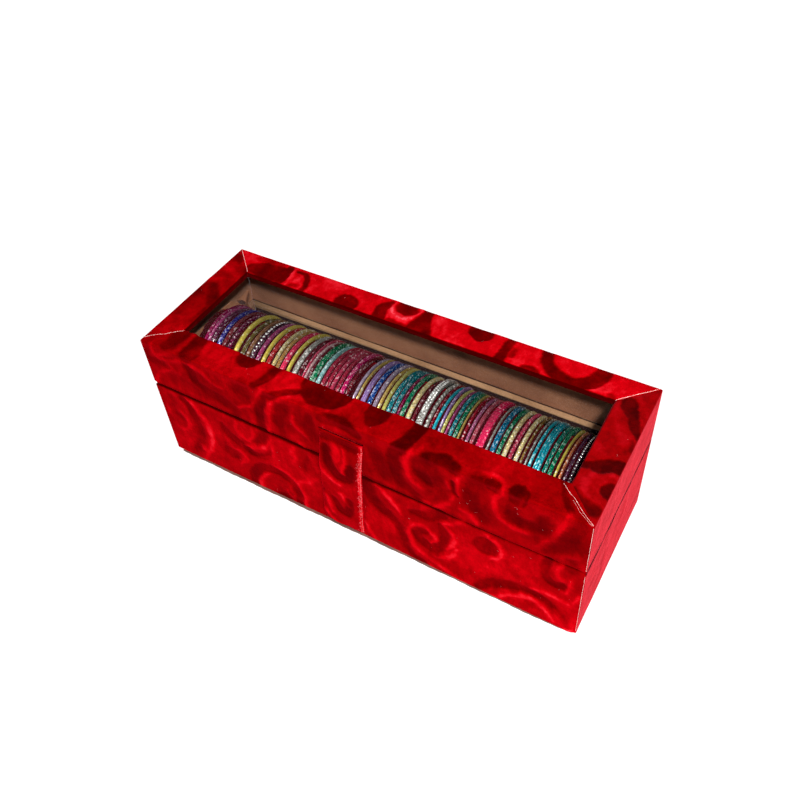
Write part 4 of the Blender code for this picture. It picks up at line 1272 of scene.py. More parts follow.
def tab_piece(name, top, bottom, material):
    """Doubled velvet between two heights, closed all round with a soft front edge."""
    count = max(3, math.ceil((top - bottom) / TAB_SPACING))
    rings = []
    places = []
    for step in range(count + 1):
        height = top + (bottom - top) * step / count
        middle, back = tab_place(height)
        over = height - TAB_LOWEST
        rounded = max(0.0, 1 - over / TAB_CORNER)
        half = TAB_WIDTH / 2 - TAB_CORNER * (1 - math.sqrt(1 - rounded**2)) * 0.8
        thinned = TAB_EDGE_WIDTH * max(0.0, 1 - over / 0.0020) ** 2
        ring = []
        for column in range(TAB_COLUMNS + 1):
            share = column / TAB_COLUMNS
            x = middle + (2 * share - 1) * half
            edge = min(share, 1 - share) * 2 * half
            round_off = TAB_EDGE_DROP * max(0.0, 1 - edge / TAB_EDGE_WIDTH) ** 2
            ring.append((x, back - TAB_THICKNESS + max(round_off, thinned), height))
            places.append(((x + LENGTH / 2) / MM, height / MM))
        for x in (middle + half, middle - half):
            ring.append((x, back, height))
            places.append(NO_MOTIF)
        rings.append(ring)
    places = np.array(places)
    drawn = ruffled(places, TAB_SEED)
    pressed = pressed_field(drawn, TAB_PRESSED)
    rims = rim_field(drawn, TAB_RIMS) * (1 - RIM_LOST * pressed)
    points = np.array([point for ring in rings for point in ring])
    points[:, 1] -= RIM_RAISE * rims - PRESSED_DEPTH * pressed
    middles = np.array([tab_place(point[2])[0] for point in points])
    from_right = (middles + TAB_WIDTH / 2 - points[:, 0]) / MM
    worn = smoothstep(2.4, 1.2, from_right) * np.clip(0.7 + 0.6 * cloud(places, 2.2, TAB_SEED + 4), 0.0, 1.2)
    # The rims are drawn lighter as painted highlight
    tone = TAB_TONE - PRESSED_TONE * pressed + RIM_TONE * rims + 0.42 * worn
    return mesh_object(name, points, ring_faces(count + 1, len(rings[0])), material, 60, tone)


def make_tab(material, thread, lip_thread, shadowed):
    """The tab, its glued root on the lid, its cut edges, the lip of the slit that it comes out of, and a dark
    tube of painted shade in the slit.
    """
    tab = tab_piece("velvet_tab", TAB_HINGE - GAP, TAB_LOWEST, material)
    settle(tab, "tab", "velvet_red", "closure_tab")
    settle(tab_piece("velvet_tab_root", TAB_TOP, TAB_HINGE, material), "lid", "velvet_red", "tab_root")
    for part, body, start, end, half_width in (
        ("root", "lid", TAB_TOP - 0.0006, TAB_HINGE + 0.0002, 0.00030),
        ("upper", "tab", TAB_HINGE - 0.0006, 0.0400, 0.00038),
        ("lower", "tab", 0.0398, TAB_LOWEST + 0.0020, 0.00022),
    ):
        line = []
        for height in np.linspace(start, end, max(4, round((start - end) / MM))):
            middle, back = tab_place(float(height))
            line.append((middle + TAB_WIDTH / 2 - 0.0002, back - TAB_THICKNESS * 0.70, float(height)))
        thread_edge("tab_edge_" + part, line, half_width, body, thread, TAB_EDGE_SEED, (1.0, -0.5, 0.0))
    left = tab_place(TAB_TOP)[0] - TAB_WIDTH / 2
    lip, slit, radii = [], [], []
    for step in range(SLIT_STEPS + 1):
        share = step / SLIT_STEPS
        x = left + ((1 + SLIT_PAST) * share - SLIT_PAST) * TAB_WIDTH
        right = 0.12 * TAB_WIDTH * (1 - share)
        lip.append((x + right, -DEPTH / 2 - 0.0006, TAB_TOP + 0.0017 - 0.0006 * share))
        slit.append((x, -DEPTH / 2 - 0.0002, TAB_TOP + 0.0006 - 0.0003 * share))
        radii.append(0.00018 + 0.00036 * share)
    thread_edge("tab_slit_lip", lip, 0.00015, "lid", lip_thread, SLIT_SEED, (0.0, -1.0, 0.3))
    # A dark tube in the slit: painted shade
    settle(tube("tab_slit", slit, radii, shadowed, 8), "lid", "velvet_red")


# Hooks and loops of the tapes: rows up, columns across, reach out of the tape and wire radius
HOOK_ROWS = 12
HOOK_COLUMNS = 13
HOOK_REACH = 0.00022
HOOK_WIRE = 0.00009


def make_patches(material):
    """The hook and loop patches between tab and base, with their rows of hooks and loops."""
    for part, body, way in (("hook", "base", -1), ("loop", "tab", 1)):
        name, node = part + "_tape", part + "_patch"
        low, high = (Vector(corner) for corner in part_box(node))
        pieces = [rounded_plate(name, low, high, 0.0012, material)]
        face = low.y if way < 0 else high.y
        for row, column in itertools.product(range(HOOK_ROWS), range(HOOK_COLUMNS)):
            x = low.x + (high.x - low.x) * (column + 0.5) / HOOK_COLUMNS
            z = low.z + (high.z - low.z) * (row + 0.5) / HOOK_ROWS
            reach = way * HOOK_REACH
            hook = [
                (x - 0.0003, face - way * 0.0002, z), (x - 0.0002, face + reach * 0.6, z + 0.0001),
                (x + 0.0001, face + reach, z + 0.0002), (x + 0.0003, face + reach * 0.5, z + 0.0001),
            ]
            if way > 0:
                hook.append((x + 0.0003, face - 0.0002, z))
            pieces.append(tube(name + "_hook", hook, [HOOK_WIRE] * len(hook), material, 4))
        settle(joined(pieces, name), body, "dark_nylon", node)


def rounded_plate(name, low, high, radius, material):
    """An upright plate facing Y with rounded corners and a softened edge."""
    middle = (low + high) / 2
    outline = []
    corners = ((high.x, high.z), (low.x, high.z), (low.x, low.z), (high.x, low.z))
    for turn, (x, z) in enumerate(corners):
        centre = (x - math.copysign(radius, x - middle.x), z - math.copysign(radius, z - middle.z))
        outline += arc(centre, radius, 90 * turn, 90 * turn + 90, 4)
    rings = []
    for y, share in ((low.y, 0.97), (low.y + 0.0001, 1.0), (high.y - 0.0001, 1.0), (high.y, 0.97)):
        rings.append([
            (middle.x + (x - middle.x) * share, y, middle.z + (z - middle.z) * share) for x, z in outline
        ])
    return lofted(name, rings, material, 40)


# The roll: half its length, the steps of its ends from middle to edge, and how it is gathered and quilted
ROLL_HALF = 0.1328
ROLL_END_SHARES = (0.08, 0.2, 0.36, 0.54, 0.70, 0.83, 0.92, 0.975, 1.0)
ROLL_SEGMENTS = 128
ROLL_PLEATS = 22
ROLL_PLEAT_DEPTH = 0.0007
ROLL_QUILT_DEPTH = 0.00025


def make_roll(material):
    """The padded roll: velvet stretched round wadding, gathered to a pucker at each end."""
    stations = []
    for share in ROLL_END_SHARES:
        bulge = 0.0016 * (1 - share**6)
        stations.append((-ROLL_HALF + 0.0018 - bulge, ROLL_RADIUS * share, 1.0))
    middle = np.linspace(-ROLL_HALF + 0.0035, ROLL_HALF - 0.0035, 150)
    stations += [(float(x), ROLL_RADIUS, 0.0) for x in middle]
    stations += [(-x, radius, 1.0) for x, radius, _ in reversed(stations[:len(ROLL_END_SHARES)])]
    rings = []
    for x, radius, pleat in stations:
        end_share = max(0.0, 1 - (ROLL_HALF - abs(x)) / 0.014)
        ring = []
        for index in range(ROLL_SEGMENTS):
            angle = 2 * math.pi * index / ROLL_SEGMENTS
            fold = 0.5 + 0.5 * math.cos(ROLL_PLEATS * angle + 0.7 * math.sin(3 * angle))
            dent = ROLL_PLEAT_DEPTH * end_share**1.5 * fold
            quilt = ROLL_QUILT_DEPTH * (0.5 + 0.5 * math.sin(x * 900.0 + 2 * math.sin(angle)))
            shrunk = radius - dent * min(radius / ROLL_RADIUS, 1.0) - quilt * (1 - pleat)
            push = ROLL_PLEAT_DEPTH * pleat * fold * (1 - radius / ROLL_RADIUS * 0.6)
            y, z = shrunk * math.sin(angle), ROLL_AXIS_HEIGHT + shrunk * math.cos(angle)
            ring.append((x + math.copysign(push, -x), y, z))
        rings.append(ring)
    tone = np.full(len(rings) * ROLL_SEGMENTS, 0.5)
    made = lofted("padded_roll", rings, material, 60, tone)
    settle(made, "roll", "maroon_velvet", "roll_core", "roll_cover", "roll_end_left", "roll_end_right")


# The loose sheet at the left end, the scroll that its back top corner has rolled into, and the dark disc of
# painted shade in the scroll's mouth, in mm
SHEET_X = -0.13335
SHEET_BOTTOM = 0.0060
SHEET_TOP = 0.0806
SHEET_SIDE = 0.0404
SCROLL_OPENING = (-129.65, 26.0, 76.2)
SCROLL_END = (-133.2, 37.5, 76.5)
SCROLL_HALF = (3.65, 2.9)
SCROLL_TAPER = 0.80
SCROLL_SHADE_DEPTH = 0.2
SCROLL_RINGS = 24
SCROLL_TURNS = 40
SCROLL_HALF_THICKNESS = 0.16
SHADE_FIT = 0.86
SHADE_SIDES = 24
SHADE_THICKNESS = 0.3


def flat_sheet(material):
    """The sheet's flat part, with a notched top edge."""
    half = END_SHEET / 2
    rings = []
    for y in np.linspace(-SHEET_SIDE, SHEET_SIDE, 90):
        notch = 0.0042 * float(smoothstep(0.0205, 0.0235, y)) + 0.030 * float(smoothstep(0.0335, 0.0375, y))
        top = SHEET_TOP - notch + 0.0004 * math.sin(y * 170.0)
        lean = 0.0006 * math.sin(y * 60.0)
        front = [(SHEET_X + half + lean * z / SHEET_TOP, y, z) for z in np.linspace(SHEET_BOTTOM, top, 24)]
        rings.append(front + [(x - 2 * half, y, z) for x, _, z in reversed(front)])
    return lofted("sheet_flat", rings, material, 50)


def scroll_ring(share, centre, across, upward, drop_to_start):
    """The rolled paper's section at a share of the scroll's length, from the sheet's face to its end."""
    wide, high = (size * (1 - SCROLL_TAPER * share) for size in SCROLL_HALF)
    foot = (SHEET_X / MM - centre[0]) / across[0]
    drop = 4.0 * (1 - share)
    line = [(foot, -drop - 2.4 - drop_to_start), (foot * 0.98, -1.4 - 0.5 * drop)]
    for turn in range(SCROLL_TURNS + 1):
        angle = math.radians(200 - 470 * turn / SCROLL_TURNS)
        shrink = 1 - 0.30 * turn / SCROLL_TURNS
        line.append((wide * shrink * math.cos(angle), high * shrink * math.sin(angle)))
    line = np.array(line)
    tangent = np.gradient(line, axis=0)
    tangent /= np.linalg.norm(tangent, axis=1)[:, None]
    off = np.column_stack([tangent[:, 1], -tangent[:, 0]]) * SCROLL_HALF_THICKNESS
    section = np.vstack([line + off, (line - off)[::-1]])
    return [(centre + across * x + upward * y) * MM for x, y in section]


def make_end_sheet(material, shadowed):
    """The loose paper sheet, its back top corner rolled into a scroll that opens to the front, and a dark
    disc of painted shade in the scroll's mouth.
    """
    start, end = np.array(SCROLL_OPENING), np.array(SCROLL_END)
    axis = (end - start) / np.linalg.norm(end - start)
    across = np.cross(axis, (0.0, 0.0, 1.0))
    across *= math.copysign(1 / np.linalg.norm(across), across[0])
    upward = np.cross(across, axis)
    upward *= math.copysign(1.0, upward[2])
    # A dark disc in the scroll's mouth: painted shade
    mouth = []
    for turn in range(SHADE_SIDES):
        angle = math.radians(360 * turn / SHADE_SIDES)
        wide = SHADE_FIT * SCROLL_HALF[0] * math.cos(angle)
        high = SHADE_FIT * SCROLL_HALF[1] * math.sin(angle)
        mouth.append(start + axis * SCROLL_SHADE_DEPTH + across * wide + upward * high)
    shade_rings = [[(spot + axis * depth) * MM for spot in mouth] for depth in (0.0, SHADE_THICKNESS)]
    rings = []
    for step in range(SCROLL_RINGS + 1):
        share = step / SCROLL_RINGS
        centre = start + (end - start) * share
        rings.append(scroll_ring(share, centre, across, upward, centre[2] - start[2]))
    pieces = [
        flat_sheet(material), lofted("sheet_scroll", rings, material, 50),
        lofted("scroll_painted_shade", shade_rings, shadowed),
    ]
    settle(joined(pieces, "loose_sheet"), "base", "beige_paper", "end_sheet")


# The card under the base: its thickness, and how far it stays inside each wall
CARD_THICKNESS = 0.0013
CARD_INSET_FRONT = ((5, -0.60), (60, -0.95), (150, -1.10), (215, -1.25), (272, -1.20), (280, -0.60))
CARD_INSET_SIDE = 0.0045
CARD_INSET_BACK = 0.0040
CARD_COLUMNS = 190


def make_bottom_card(material):
    """The brown card glued under the base, cut unevenly and showing along the front."""
    rings = []
    for step in range(CARD_COLUMNS + 1):
        x = (step / CARD_COLUMNS - 0.5) * (LENGTH - 2 * CARD_INSET_SIDE)
        inset = float(interpolated(CARD_INSET_FRONT, (x + LENGTH / 2) / MM)) * MM
        wander = 0.00016 * math.sin(x * 210.0) + 0.00009 * math.sin(x * 940.0)
        front = -DEPTH / 2 + inset + wander
        back = DEPTH / 2 - CARD_INSET_BACK + 0.0003 * math.sin(x * 120.0)
        ply = 0.00012 * math.sin(x * 1700.0)
        edge = CARD_THICKNESS - float(hem_droop(x))
        section = [
            (front + 0.00025, 0.0), (front, edge * 0.2), (front + 0.00012 + ply, edge * 0.5),
             (front, edge * 0.8),
            (front + 0.00022, edge), (-DEPTH / 2 + 0.0030, edge), (-DEPTH / 2 + 0.0046, CARD_THICKNESS),
            (-0.03, CARD_THICKNESS), (0.0, CARD_THICKNESS), (0.03, CARD_THICKNESS), (back, CARD_THICKNESS),
            (back + 0.0001, 0.0006), (back, 0.0), (0.03, 0.0), (0.0, 0.0), (-0.03, 0.0),
        ]
        rings.append([(x, y, z) for y, z in section])
    settle(lofted("bottom_card", rings, material, 40), "base", "brown_sheet", "bottom_sheet")


# Colours of the bangles, in sRGB, with glitter, roughness and metal
BANGLE_LOOKS = {
    "magenta": ((158, 18, 84), 0.55, 0.32, 0.65),
    "plum": ((98, 18, 62), 0.5, 0.4, 0.6),
    "blue": ((50, 44, 150), 0.9, 0.3, 0.7),
    "brownred": ((128, 34, 48), 0.4, 0.36, 0.7),
    "wine": ((112, 8, 62), 0.6, 0.32, 0.65),
    "yellow": ((222, 200, 84), 0.35, 0.34, 0.55),
    "olive": ((116, 98, 44), 0.6, 0.34, 0.8),
    "tan": ((158, 106, 72), 0.5, 0.34, 0.8),
    "dark": ((70, 14, 46), 0.4, 0.35, 0.6),
    "orchid": ((178, 66, 124), 0.5, 0.3, 0.7),
    "coral": ((188, 40, 44), 0.4, 0.32, 0.65),
    "palegold": ((236, 214, 150), 0.85, 0.26, 0.9),
    "coppergold": ((202, 152, 84), 0.55, 0.28, 0.9),
    "pinkred": ((226, 48, 92), 0.5, 0.32, 0.6),
    "silver": ((168, 164, 156), 0.95, 0.2, 0.95),
    "maroon": ((112, 16, 38), 0.5, 0.36, 0.65),
    "pink": ((204, 62, 96), 0.5, 0.3, 0.7),
    "blush": ((222, 176, 178), 0.5, 0.26, 0.85),
    "green": ((0, 128, 82), 0.95, 0.3, 0.7),
    "aqua": ((146, 200, 200), 0.85, 0.24, 0.9),
    "rose": ((184, 42, 72), 0.5, 0.3, 0.75),
    "fuchsia": ((204, 30, 106), 0.6, 0.3, 0.65),
    "darkred": ((124, 18, 38), 0.5, 0.34, 0.65),
    "lilacsilver": ((188, 168, 196), 0.55, 0.26, 0.9),
    "gold": ((214, 180, 96), 0.5, 0.26, 0.95),
    "lilac": ((166, 132, 196), 0.5, 0.28, 0.8),
    "royal": ((18, 84, 172), 0.95, 0.26, 0.8),
    "lime": ((214, 208, 112), 0.5, 0.28, 0.8),
    "teal": ((0, 138, 150), 0.9, 0.28, 0.75),
    "emerald": ((0, 140, 98), 0.9, 0.3, 0.7),
    "crimson": ((158, 12, 40), 0.55, 0.32, 0.65),
    "mauve": ((176, 92, 134), 0.5, 0.3, 0.7),
    "dusty": ((210, 92, 112), 0.4, 0.3, 0.75),
    "hotpink": ((238, 34, 94), 0.35, 0.32, 0.5),
    "tealblue": ((0, 126, 166), 0.9, 0.26, 0.8),
    "browngold": ((156, 118, 58), 0.5, 0.28, 0.9),
    "turquoise": ((30, 184, 204), 0.6, 0.22, 0.8),
    "seagreen": ((0, 138, 118), 0.9, 0.3, 0.7),
    "copper": ((206, 118, 76), 0.5, 0.3, 0.85),
    "purple": ((82, 34, 66), 0.55, 0.34, 0.65),
}

# Bangles from left to right: (middle, width, rise over the bore, form, look)
BANGLES = (
    (18.2, 2.9, 3.3, "round", "magenta"), (20.9, 2.6, 3.4, "ribbed", "orchid"),
    (24, 3.6, 3, "glitter", "plum"), (28.6, 3.4, 3.2, "glitter", "blue"),
    (32.6, 3.6, 3, "round", "brownred"), (36.9, 3.4, 3.1, "beads", "wine"),
    (42.3, 5.4, 3.7, "smooth", "yellow"), (47.6, 3.6, 3, "ribbed", "olive"), (51.3, 3, 3, "round", "tan"),
    (55.3, 4, 3.2, "stones", "dark"), (59.4, 3.2, 3.1, "ribbed", "orchid"),
    (63.4, 4, 3.7, "smooth", "yellow"), (67.6, 3.7, 3.3, "round", "coral"),
    (71.2, 2.9, 3.2, "ribbed", "palegold"), (74.4, 2.9, 3.1, "twist", "coppergold"),
    (78.2, 3.8, 3.4, "glitter", "pinkred"), (82.3, 3.6, 3.7, "smooth", "yellow"),
    (86.7, 4.3, 3.3, "facets", "silver"), (90.6, 2.9, 3, "round", "maroon"),
    (93.2, 1.9, 3.1, "round", "pink"), (95.2, 1.9, 3, "twist", "blush"),
    (97.3, 1.9, 3.1, "round", "maroon"), (100.4, 4, 3.5, "glitter", "green"),
    (104.2, 3.2, 3.3, "facets", "aqua"), (107.9, 3, 3.4, "ribbed", "rose"),
    (111.2, 3, 3.4, "round", "rose"), (114.4, 3, 3.4, "ribbed", "pink"), (117.6, 3, 3.2, "twist", "rose"),
    (121, 3.3, 3.2, "glitter", "fuchsia"), (124.4, 2.8, 2.9, "round", "darkred"),
    (129.4, 2.3, 3, "round", "lilacsilver"), (131.9, 2.3, 3.3, "smooth", "gold"),
    (135.5, 4.2, 3.4, "ribbed", "lilac"), (139.5, 3.2, 3.3, "glitter", "royal"),
    (143, 3, 3.4, "ribbed", "lilacsilver"), (146, 2.6, 3.2, "round", "gold"),
    (148.9, 2.8, 3.1, "ribbed", "lime"), (152.1, 3, 3.4, "glitter", "teal"),
    (155.3, 2.8, 3.4, "glitter", "teal"), (157.9, 1.5, 2.9, "round", "magenta"),
    (160.3, 2.8, 3.2, "glitter", "emerald"), (164.3, 3.6, 3.3, "facets", "palegold"),
    (167.6, 2.4, 2.9, "round", "maroon"), (171.7, 5, 3.7, "crystals", "silver"),
    (176.1, 2.9, 3.2, "beads", "silver"), (178.7, 1.8, 3, "round", "crimson"),
    (181, 2.2, 3.1, "glitter", "turquoise"), (183.5, 2.2, 3.5, "ribbed", "lilac"),
    (186, 2.2, 3.2, "facets", "lime"), (188.3, 1.9, 3, "round", "orchid"),
    (190.8, 2.6, 3.3, "glitter", "teal"), (193.5, 2.4, 3.3, "glitter", "emerald"),
    (195.7, 1.6, 3.2, "twist", "gold"), (198, 2.5, 3, "round", "crimson"),
    (200.8, 2.5, 3.2, "ribbed", "mauve"), (203.9, 3, 3.6, "ribbed", "dusty"),
    (208.8, 5.6, 3.7, "grooved", "hotpink"), (212.9, 1.8, 2.8, "twist", "silver"),
    (216.2, 3.8, 3.6, "glitter", "tealblue"), (219.8, 2.6, 3.3, "glitter", "emerald"),
    (223.1, 3.4, 3.3, "facets", "palegold"), (226.6, 2.9, 3.4, "beads", "pink"),
    (229.9, 3.2, 3.4, "facets", "palegold"), (233, 2.4, 3.2, "smooth", "browngold"),
    (235.5, 2, 3.1, "smooth", "silver"), (237.9, 2.2, 3.4, "glitter", "turquoise"),
    (242, 5.4, 3.6, "glitter", "turquoise"), (246.4, 2.9, 3.3, "glitter", "seagreen"),
    (249.5, 2.8, 3.4, "glitter", "emerald"), (252.6, 2.6, 3.5, "smooth", "yellow"),
    (255.2, 2.2, 3.2, "round", "copper"), (257.8, 2.4, 3.1, "ribbed", "purple"),
    (260.8, 2.9, 3.2, "stones", "dark"), (263.7, 2.3, 3.1, "glitter", "purple"),
    (266.1, 2, 3, "round", "maroon"),
)

# How each form of bangle is cut: segments round it, repeats, depth of the cuts and their slant
BANGLE_FORMS = {
    "round": (144, 0, 0.0, 0.0),
    "smooth": (144, 0, 0.0, 0.0),
    "glitter": (288, 0, 0.00010, 0.0),
    "ribbed": (540, 108, 0.00026, 0.0),
    "grooved": (560, 70, 0.00034, 0.0),
    "twist": (540, 90, 0.00034, 1.6),
    "facets": (600, 75, 0.00052, 2.6),
    "beads": (660, 66, 0.0, 0.0),
    "stones": (288, 0, 0.0, 0.0),
    "crystals": (288, 0, 0.0, 0.0),
}

# How much of its place each form of bangle takes up, where it isn't the usual share
BANGLE_NARROWED = {"smooth": 0.50, "round": 0.62, "ribbed": 0.64, "twist": 0.62, "beads": 0.68}
BANGLE_USUAL = 0.72

# Rows of stones across a bangle, and a stone's size and pitch as shares of its width and size
STONE_ROWS = {"stones": ((0.0,), 0.31, 3.1), "crystals": ((-0.24, 0.24), 0.25, 2.25)}
STONE_LEVELS = ((0.55, -0.45), (1.0, 0.0), (0.55, 0.5))
STONE_CORNERS = 8

# Forms wound from several wires, and the width of one wire in mm
WIRED = ("round", "ribbed", "twist", "glitter")
WIRE_WIDTH = 1.15

# How far a bangle is sunk into the roll's velvet, in mm: everywhere, and more towards the left end
SUNK = 0.9
SUNK_MORE = 0.4

# The share of its colour's light that a bangle keeps, and of its roughness
BANGLE_LIGHT = 0.66
BANGLE_GLOSS = 0.7

# The one bangle that leans on its neighbour, and its lean in degrees
LEANING_BANGLE = 48
LEAN = 2.4


def bangle_section(form, width, rise):
    """The bangle's section as (across, height over the bore) points, outside first."""
    half = width / 2
    outer = []
    wires = max(1, round(width / MM / WIRE_WIDTH)) if form in WIRED else 1
    steps = max(8, 5 * wires)
    for step in range(steps + 1):
        across = -1 + 2 * step / steps
        if wires > 1:
            phase = (step * wires / steps) % 1.0
            crest = math.sqrt(max(0.0, 1 - (2 * phase - 1) ** 2)) if 0 < step < steps else 0.0
            height = 0.36 + 0.56 * crest + 0.08 * (1 - across**2)
        elif form == "smooth":
            height = 0.35 + 0.65 * math.sqrt(max(0.0, 1 - across**2))
        elif form in STONE_ROWS or form == "grooved":
            height = 0.86 + 0.14 * (1 - abs(across) ** 6)
        else:
            height = 0.55 + 0.45 * (1 - abs(across) ** 2.6)
        outer.append((across * half, rise * height))
    inner = [(half * 0.96, rise * 0.12), (half * 0.7, 0.0), (-half * 0.7, 0.0), (-half * 0.96, rise * 0.12)]
    return outer, inner


def bangle_mesh(name, width, rise, form, materials, source):
    """One bangle round the X axis, with its middle at the origin."""
    segments, repeats, cut, slant = BANGLE_FORMS[form]
    outer, inner = bangle_section(form, width, rise)
    points = []
    for index in range(segments):
        angle = 2 * math.pi * index / segments
        for order, (across, height) in enumerate(outer + inner):
            radius = BORE_RADIUS + height
            outside = order < len(outer)
            if outside and form == "glitter":
                radius += source.uniform(-cut, cut)
            elif outside and form == "beads":
                phase = (angle / (2 * math.pi) * repeats) % 1.0
                bead = math.sqrt(max(0.0, 1 - (2 * phase - 1) ** 2))
                radius = BORE_RADIUS + height * (0.45 + 0.55 * bead)
                across *= 0.5 + 0.5 * bead
            elif outside and repeats:
                phase, turned = angle * repeats, slant * math.pi * across / width
                wave = abs(math.sin((phase + turned) / 2))
                if form == "facets":
                    wave = max(wave, abs(math.sin((phase - turned) / 2)))
                radius -= cut * (1 - wave)
            points.append((across, radius * math.sin(angle), radius * math.cos(angle)))
    faces = ring_faces(segments, len(outer) + len(inner), looped=True)
    ring = mesh_object(name, points, faces, materials[0], 34)
    if form not in STONE_ROWS:
        return ring
    rows, share, pitch = STONE_ROWS[form]
    size = share * width
    number = round(2 * math.pi * (BORE_RADIUS + rise) / (size * pitch))
    points = []
    faces = []
    for row, offset in enumerate(rows):
        for index in range(number):
            angle = 2 * math.pi * (index + 0.5 * row) / number
            add_stone(points, faces, offset * width, angle, BORE_RADIUS + rise * 0.97, size)
    return joined([ring, mesh_object(name + "_stones", points, faces, materials[1])], name)


def add_stone(points, faces, across, angle, radius, size):
    """A cut stone standing on the outside of the ring: a girdle, a small table and a point below."""
    faces += ring_faces(len(STONE_LEVELS), STONE_CORNERS, len(points))
    for share, level in STONE_LEVELS:
        for corner in range(STONE_CORNERS):
            turn = 2 * math.pi * corner / STONE_CORNERS + math.pi / STONE_CORNERS
            sweep = angle + size * share * math.sin(turn) / radius
            reach = radius + size * level
            x = across + size * share * math.cos(turn)
            points.append((x, reach * math.sin(sweep), reach * math.cos(sweep)))


def make_bangles():
    """All the bangles on the roll, each leaning a little with its neighbours."""
    source = random.Random(BANGLE_SEED)
    looks = {}
    for key, (colour, glitter, roughness, metallic) in BANGLE_LOOKS.items():
        colour = shade(srgb(*colour), BANGLE_LIGHT)
        looks[key] = bangle_material("bangle_" + key, colour, glitter, roughness * BANGLE_GLOSS, metallic)
    stones = stone_material("cut_stones", srgb(226, 226, 222))
    sets = {name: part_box(name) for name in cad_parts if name.startswith("bangle_set_")}
    for number, (middle, width, rise, form, look) in enumerate(BANGLES, 1):
        name = f"bangle_{number:02d}"
        sunk = SUNK + SUNK_MORE * float(smoothstep(45.0, 15.0, middle))
        width *= BANGLE_NARROWED.get(form, BANGLE_USUAL) * MM
        ring = bangle_mesh(name, width, (rise - sunk) * MM, form, (looks[look], stones), source)
        x = middle * MM - LENGTH / 2
        lean = 0.9 * math.sin(middle / 23.0) + source.uniform(-0.25, 0.25)
        if number == LEANING_BANGLE:
            lean = LEAN
        nod = 0.5 * math.sin(middle / 31.0 + 1.0) + source.uniform(-0.2, 0.2)
        swing = source.uniform(-0.0006, 0.0006)
        turn = Matrix.Rotation(source.uniform(0, 2 * math.pi), 4, "X")
        tilt = Matrix.Rotation(math.radians(lean), 4, "Z") @ Matrix.Rotation(math.radians(nod), 4, "Y")
        place = Matrix.Translation((x, swing, BANGLE_AXIS_HEIGHT + source.uniform(-0.0001, 0.0001)))
        ring.data.transform(place @ tilt @ turn)
        nearest = min(sets, key=lambda key: abs((sets[key][0][0] + sets[key][1][0]) / 2 - x))
        settle(ring, "bangles", nearest)
    for name, (low, high) in sets.items():
        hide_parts(name)


def make_lint(name, count, seed, spot, body, material, radius=FIBRE_RADIUS):
    """Fibres caught in the pile. spot gives a random place, the way out and a way along the surface."""
    source = random.Random(seed)
    pieces = []
    for _ in range(count):
        place, outward, along = spot(source)
        length = source.uniform(0.0004, 0.0014)
        bend = source.uniform(-0.5, 0.5) * length
        side = outward.cross(along).normalized()
        line = []
        for share in (0.0, 0.35, 0.7, 1.0):
            off = along * (length * (share - 0.5)) + side * (bend * math.sin(math.pi * share))
            line.append(place + off + outward * (0.00012 + 0.00025 * share))
        pieces.append(tube(name, line, [radius] * 4, material, 4))
    settle(joined(pieces, name), body, "velvet_red")


def turned_way(source, first, second):
    """A random way in the plane of two others."""
    angle = source.uniform(0, 2 * math.pi)
    return first * math.cos(angle) + second * math.sin(angle)


def front_spot(low, high):
    """Random places on the front wall between two heights, more of them towards the right."""
    def spot(source):
        x = (source.random() ** 0.6 - 0.5) * (LENGTH - 0.008)
        height = source.uniform(low, high)
        way = turned_way(source, Vector((1, 0, 0)), Vector((0, 0, 1)))
        return Vector((x, -DEPTH / 2 - 0.0001, height)), Vector((0, -1, 0)), way
    return spot


def top_spot(source):
    """Random places on the window's frame."""
    side = source.choice(("front", "front", "back", "left", "right"))
    from_edge = source.uniform(0.003, FRAME_WIDTH - 0.003)
    x = source.uniform(-0.5, 0.5) * (LENGTH - 0.04)
    y = source.uniform(-0.5, 0.5) * (DEPTH - 0.04)
    if side in ("front", "back"):
        y = math.copysign(DEPTH / 2 - from_edge, -1 if side == "front" else 1)
    else:
        x = math.copysign(LENGTH / 2 - from_edge, -1 if side == "left" else 1)
    way = turned_way(source, Vector((1, 0, 0)), Vector((0, 1, 0)))
    return Vector((x, y, HEIGHT + 0.0001)), Vector((0, 0, 1)), way


def tab_spot(source):
    """Random places along the tab's right edge, where its pile is worn down to the threads."""
    height = source.uniform(TAB_LOWEST + 0.0020, TAB_HINGE - 0.0010)
    middle, back = tab_place(height)
    x = middle + TAB_WIDTH / 2 - 0.0003 - abs(source.gauss(0.0, 0.0009))
    way = turned_way(source, Vector((1, 0, 0)), Vector((0, 0, 1)))
    return Vector((x, back - TAB_THICKNESS + 0.0001, height)), Vector((0, -1, 0)), way


def make_threads(material):
    """White cut edges along the mitres of the window's frame and down the front right edge."""
    for number, (name, half_width, *points) in enumerate(MITRE_THREADS):
        line = [(x * MM - LENGTH / 2, y * MM - DEPTH / 2, HEIGHT + 0.00012) for x, y in points]
        thread_edge("cut_edge_" + name, line, half_width * MM, "lid", material, MITRE_SEED + number)
    for seed, (body, half_width, heights) in enumerate(CORNER_THREADS, CORNER_SEED):
        line = [(LENGTH / 2 - 0.0004, -DEPTH / 2 - 0.00002, height * MM) for height in heights]
        name = f"cut_edge_{body}_corner"
        thread_edge(name, line, half_width * MM, body, material, seed, (0.7, -0.7, 0.0))


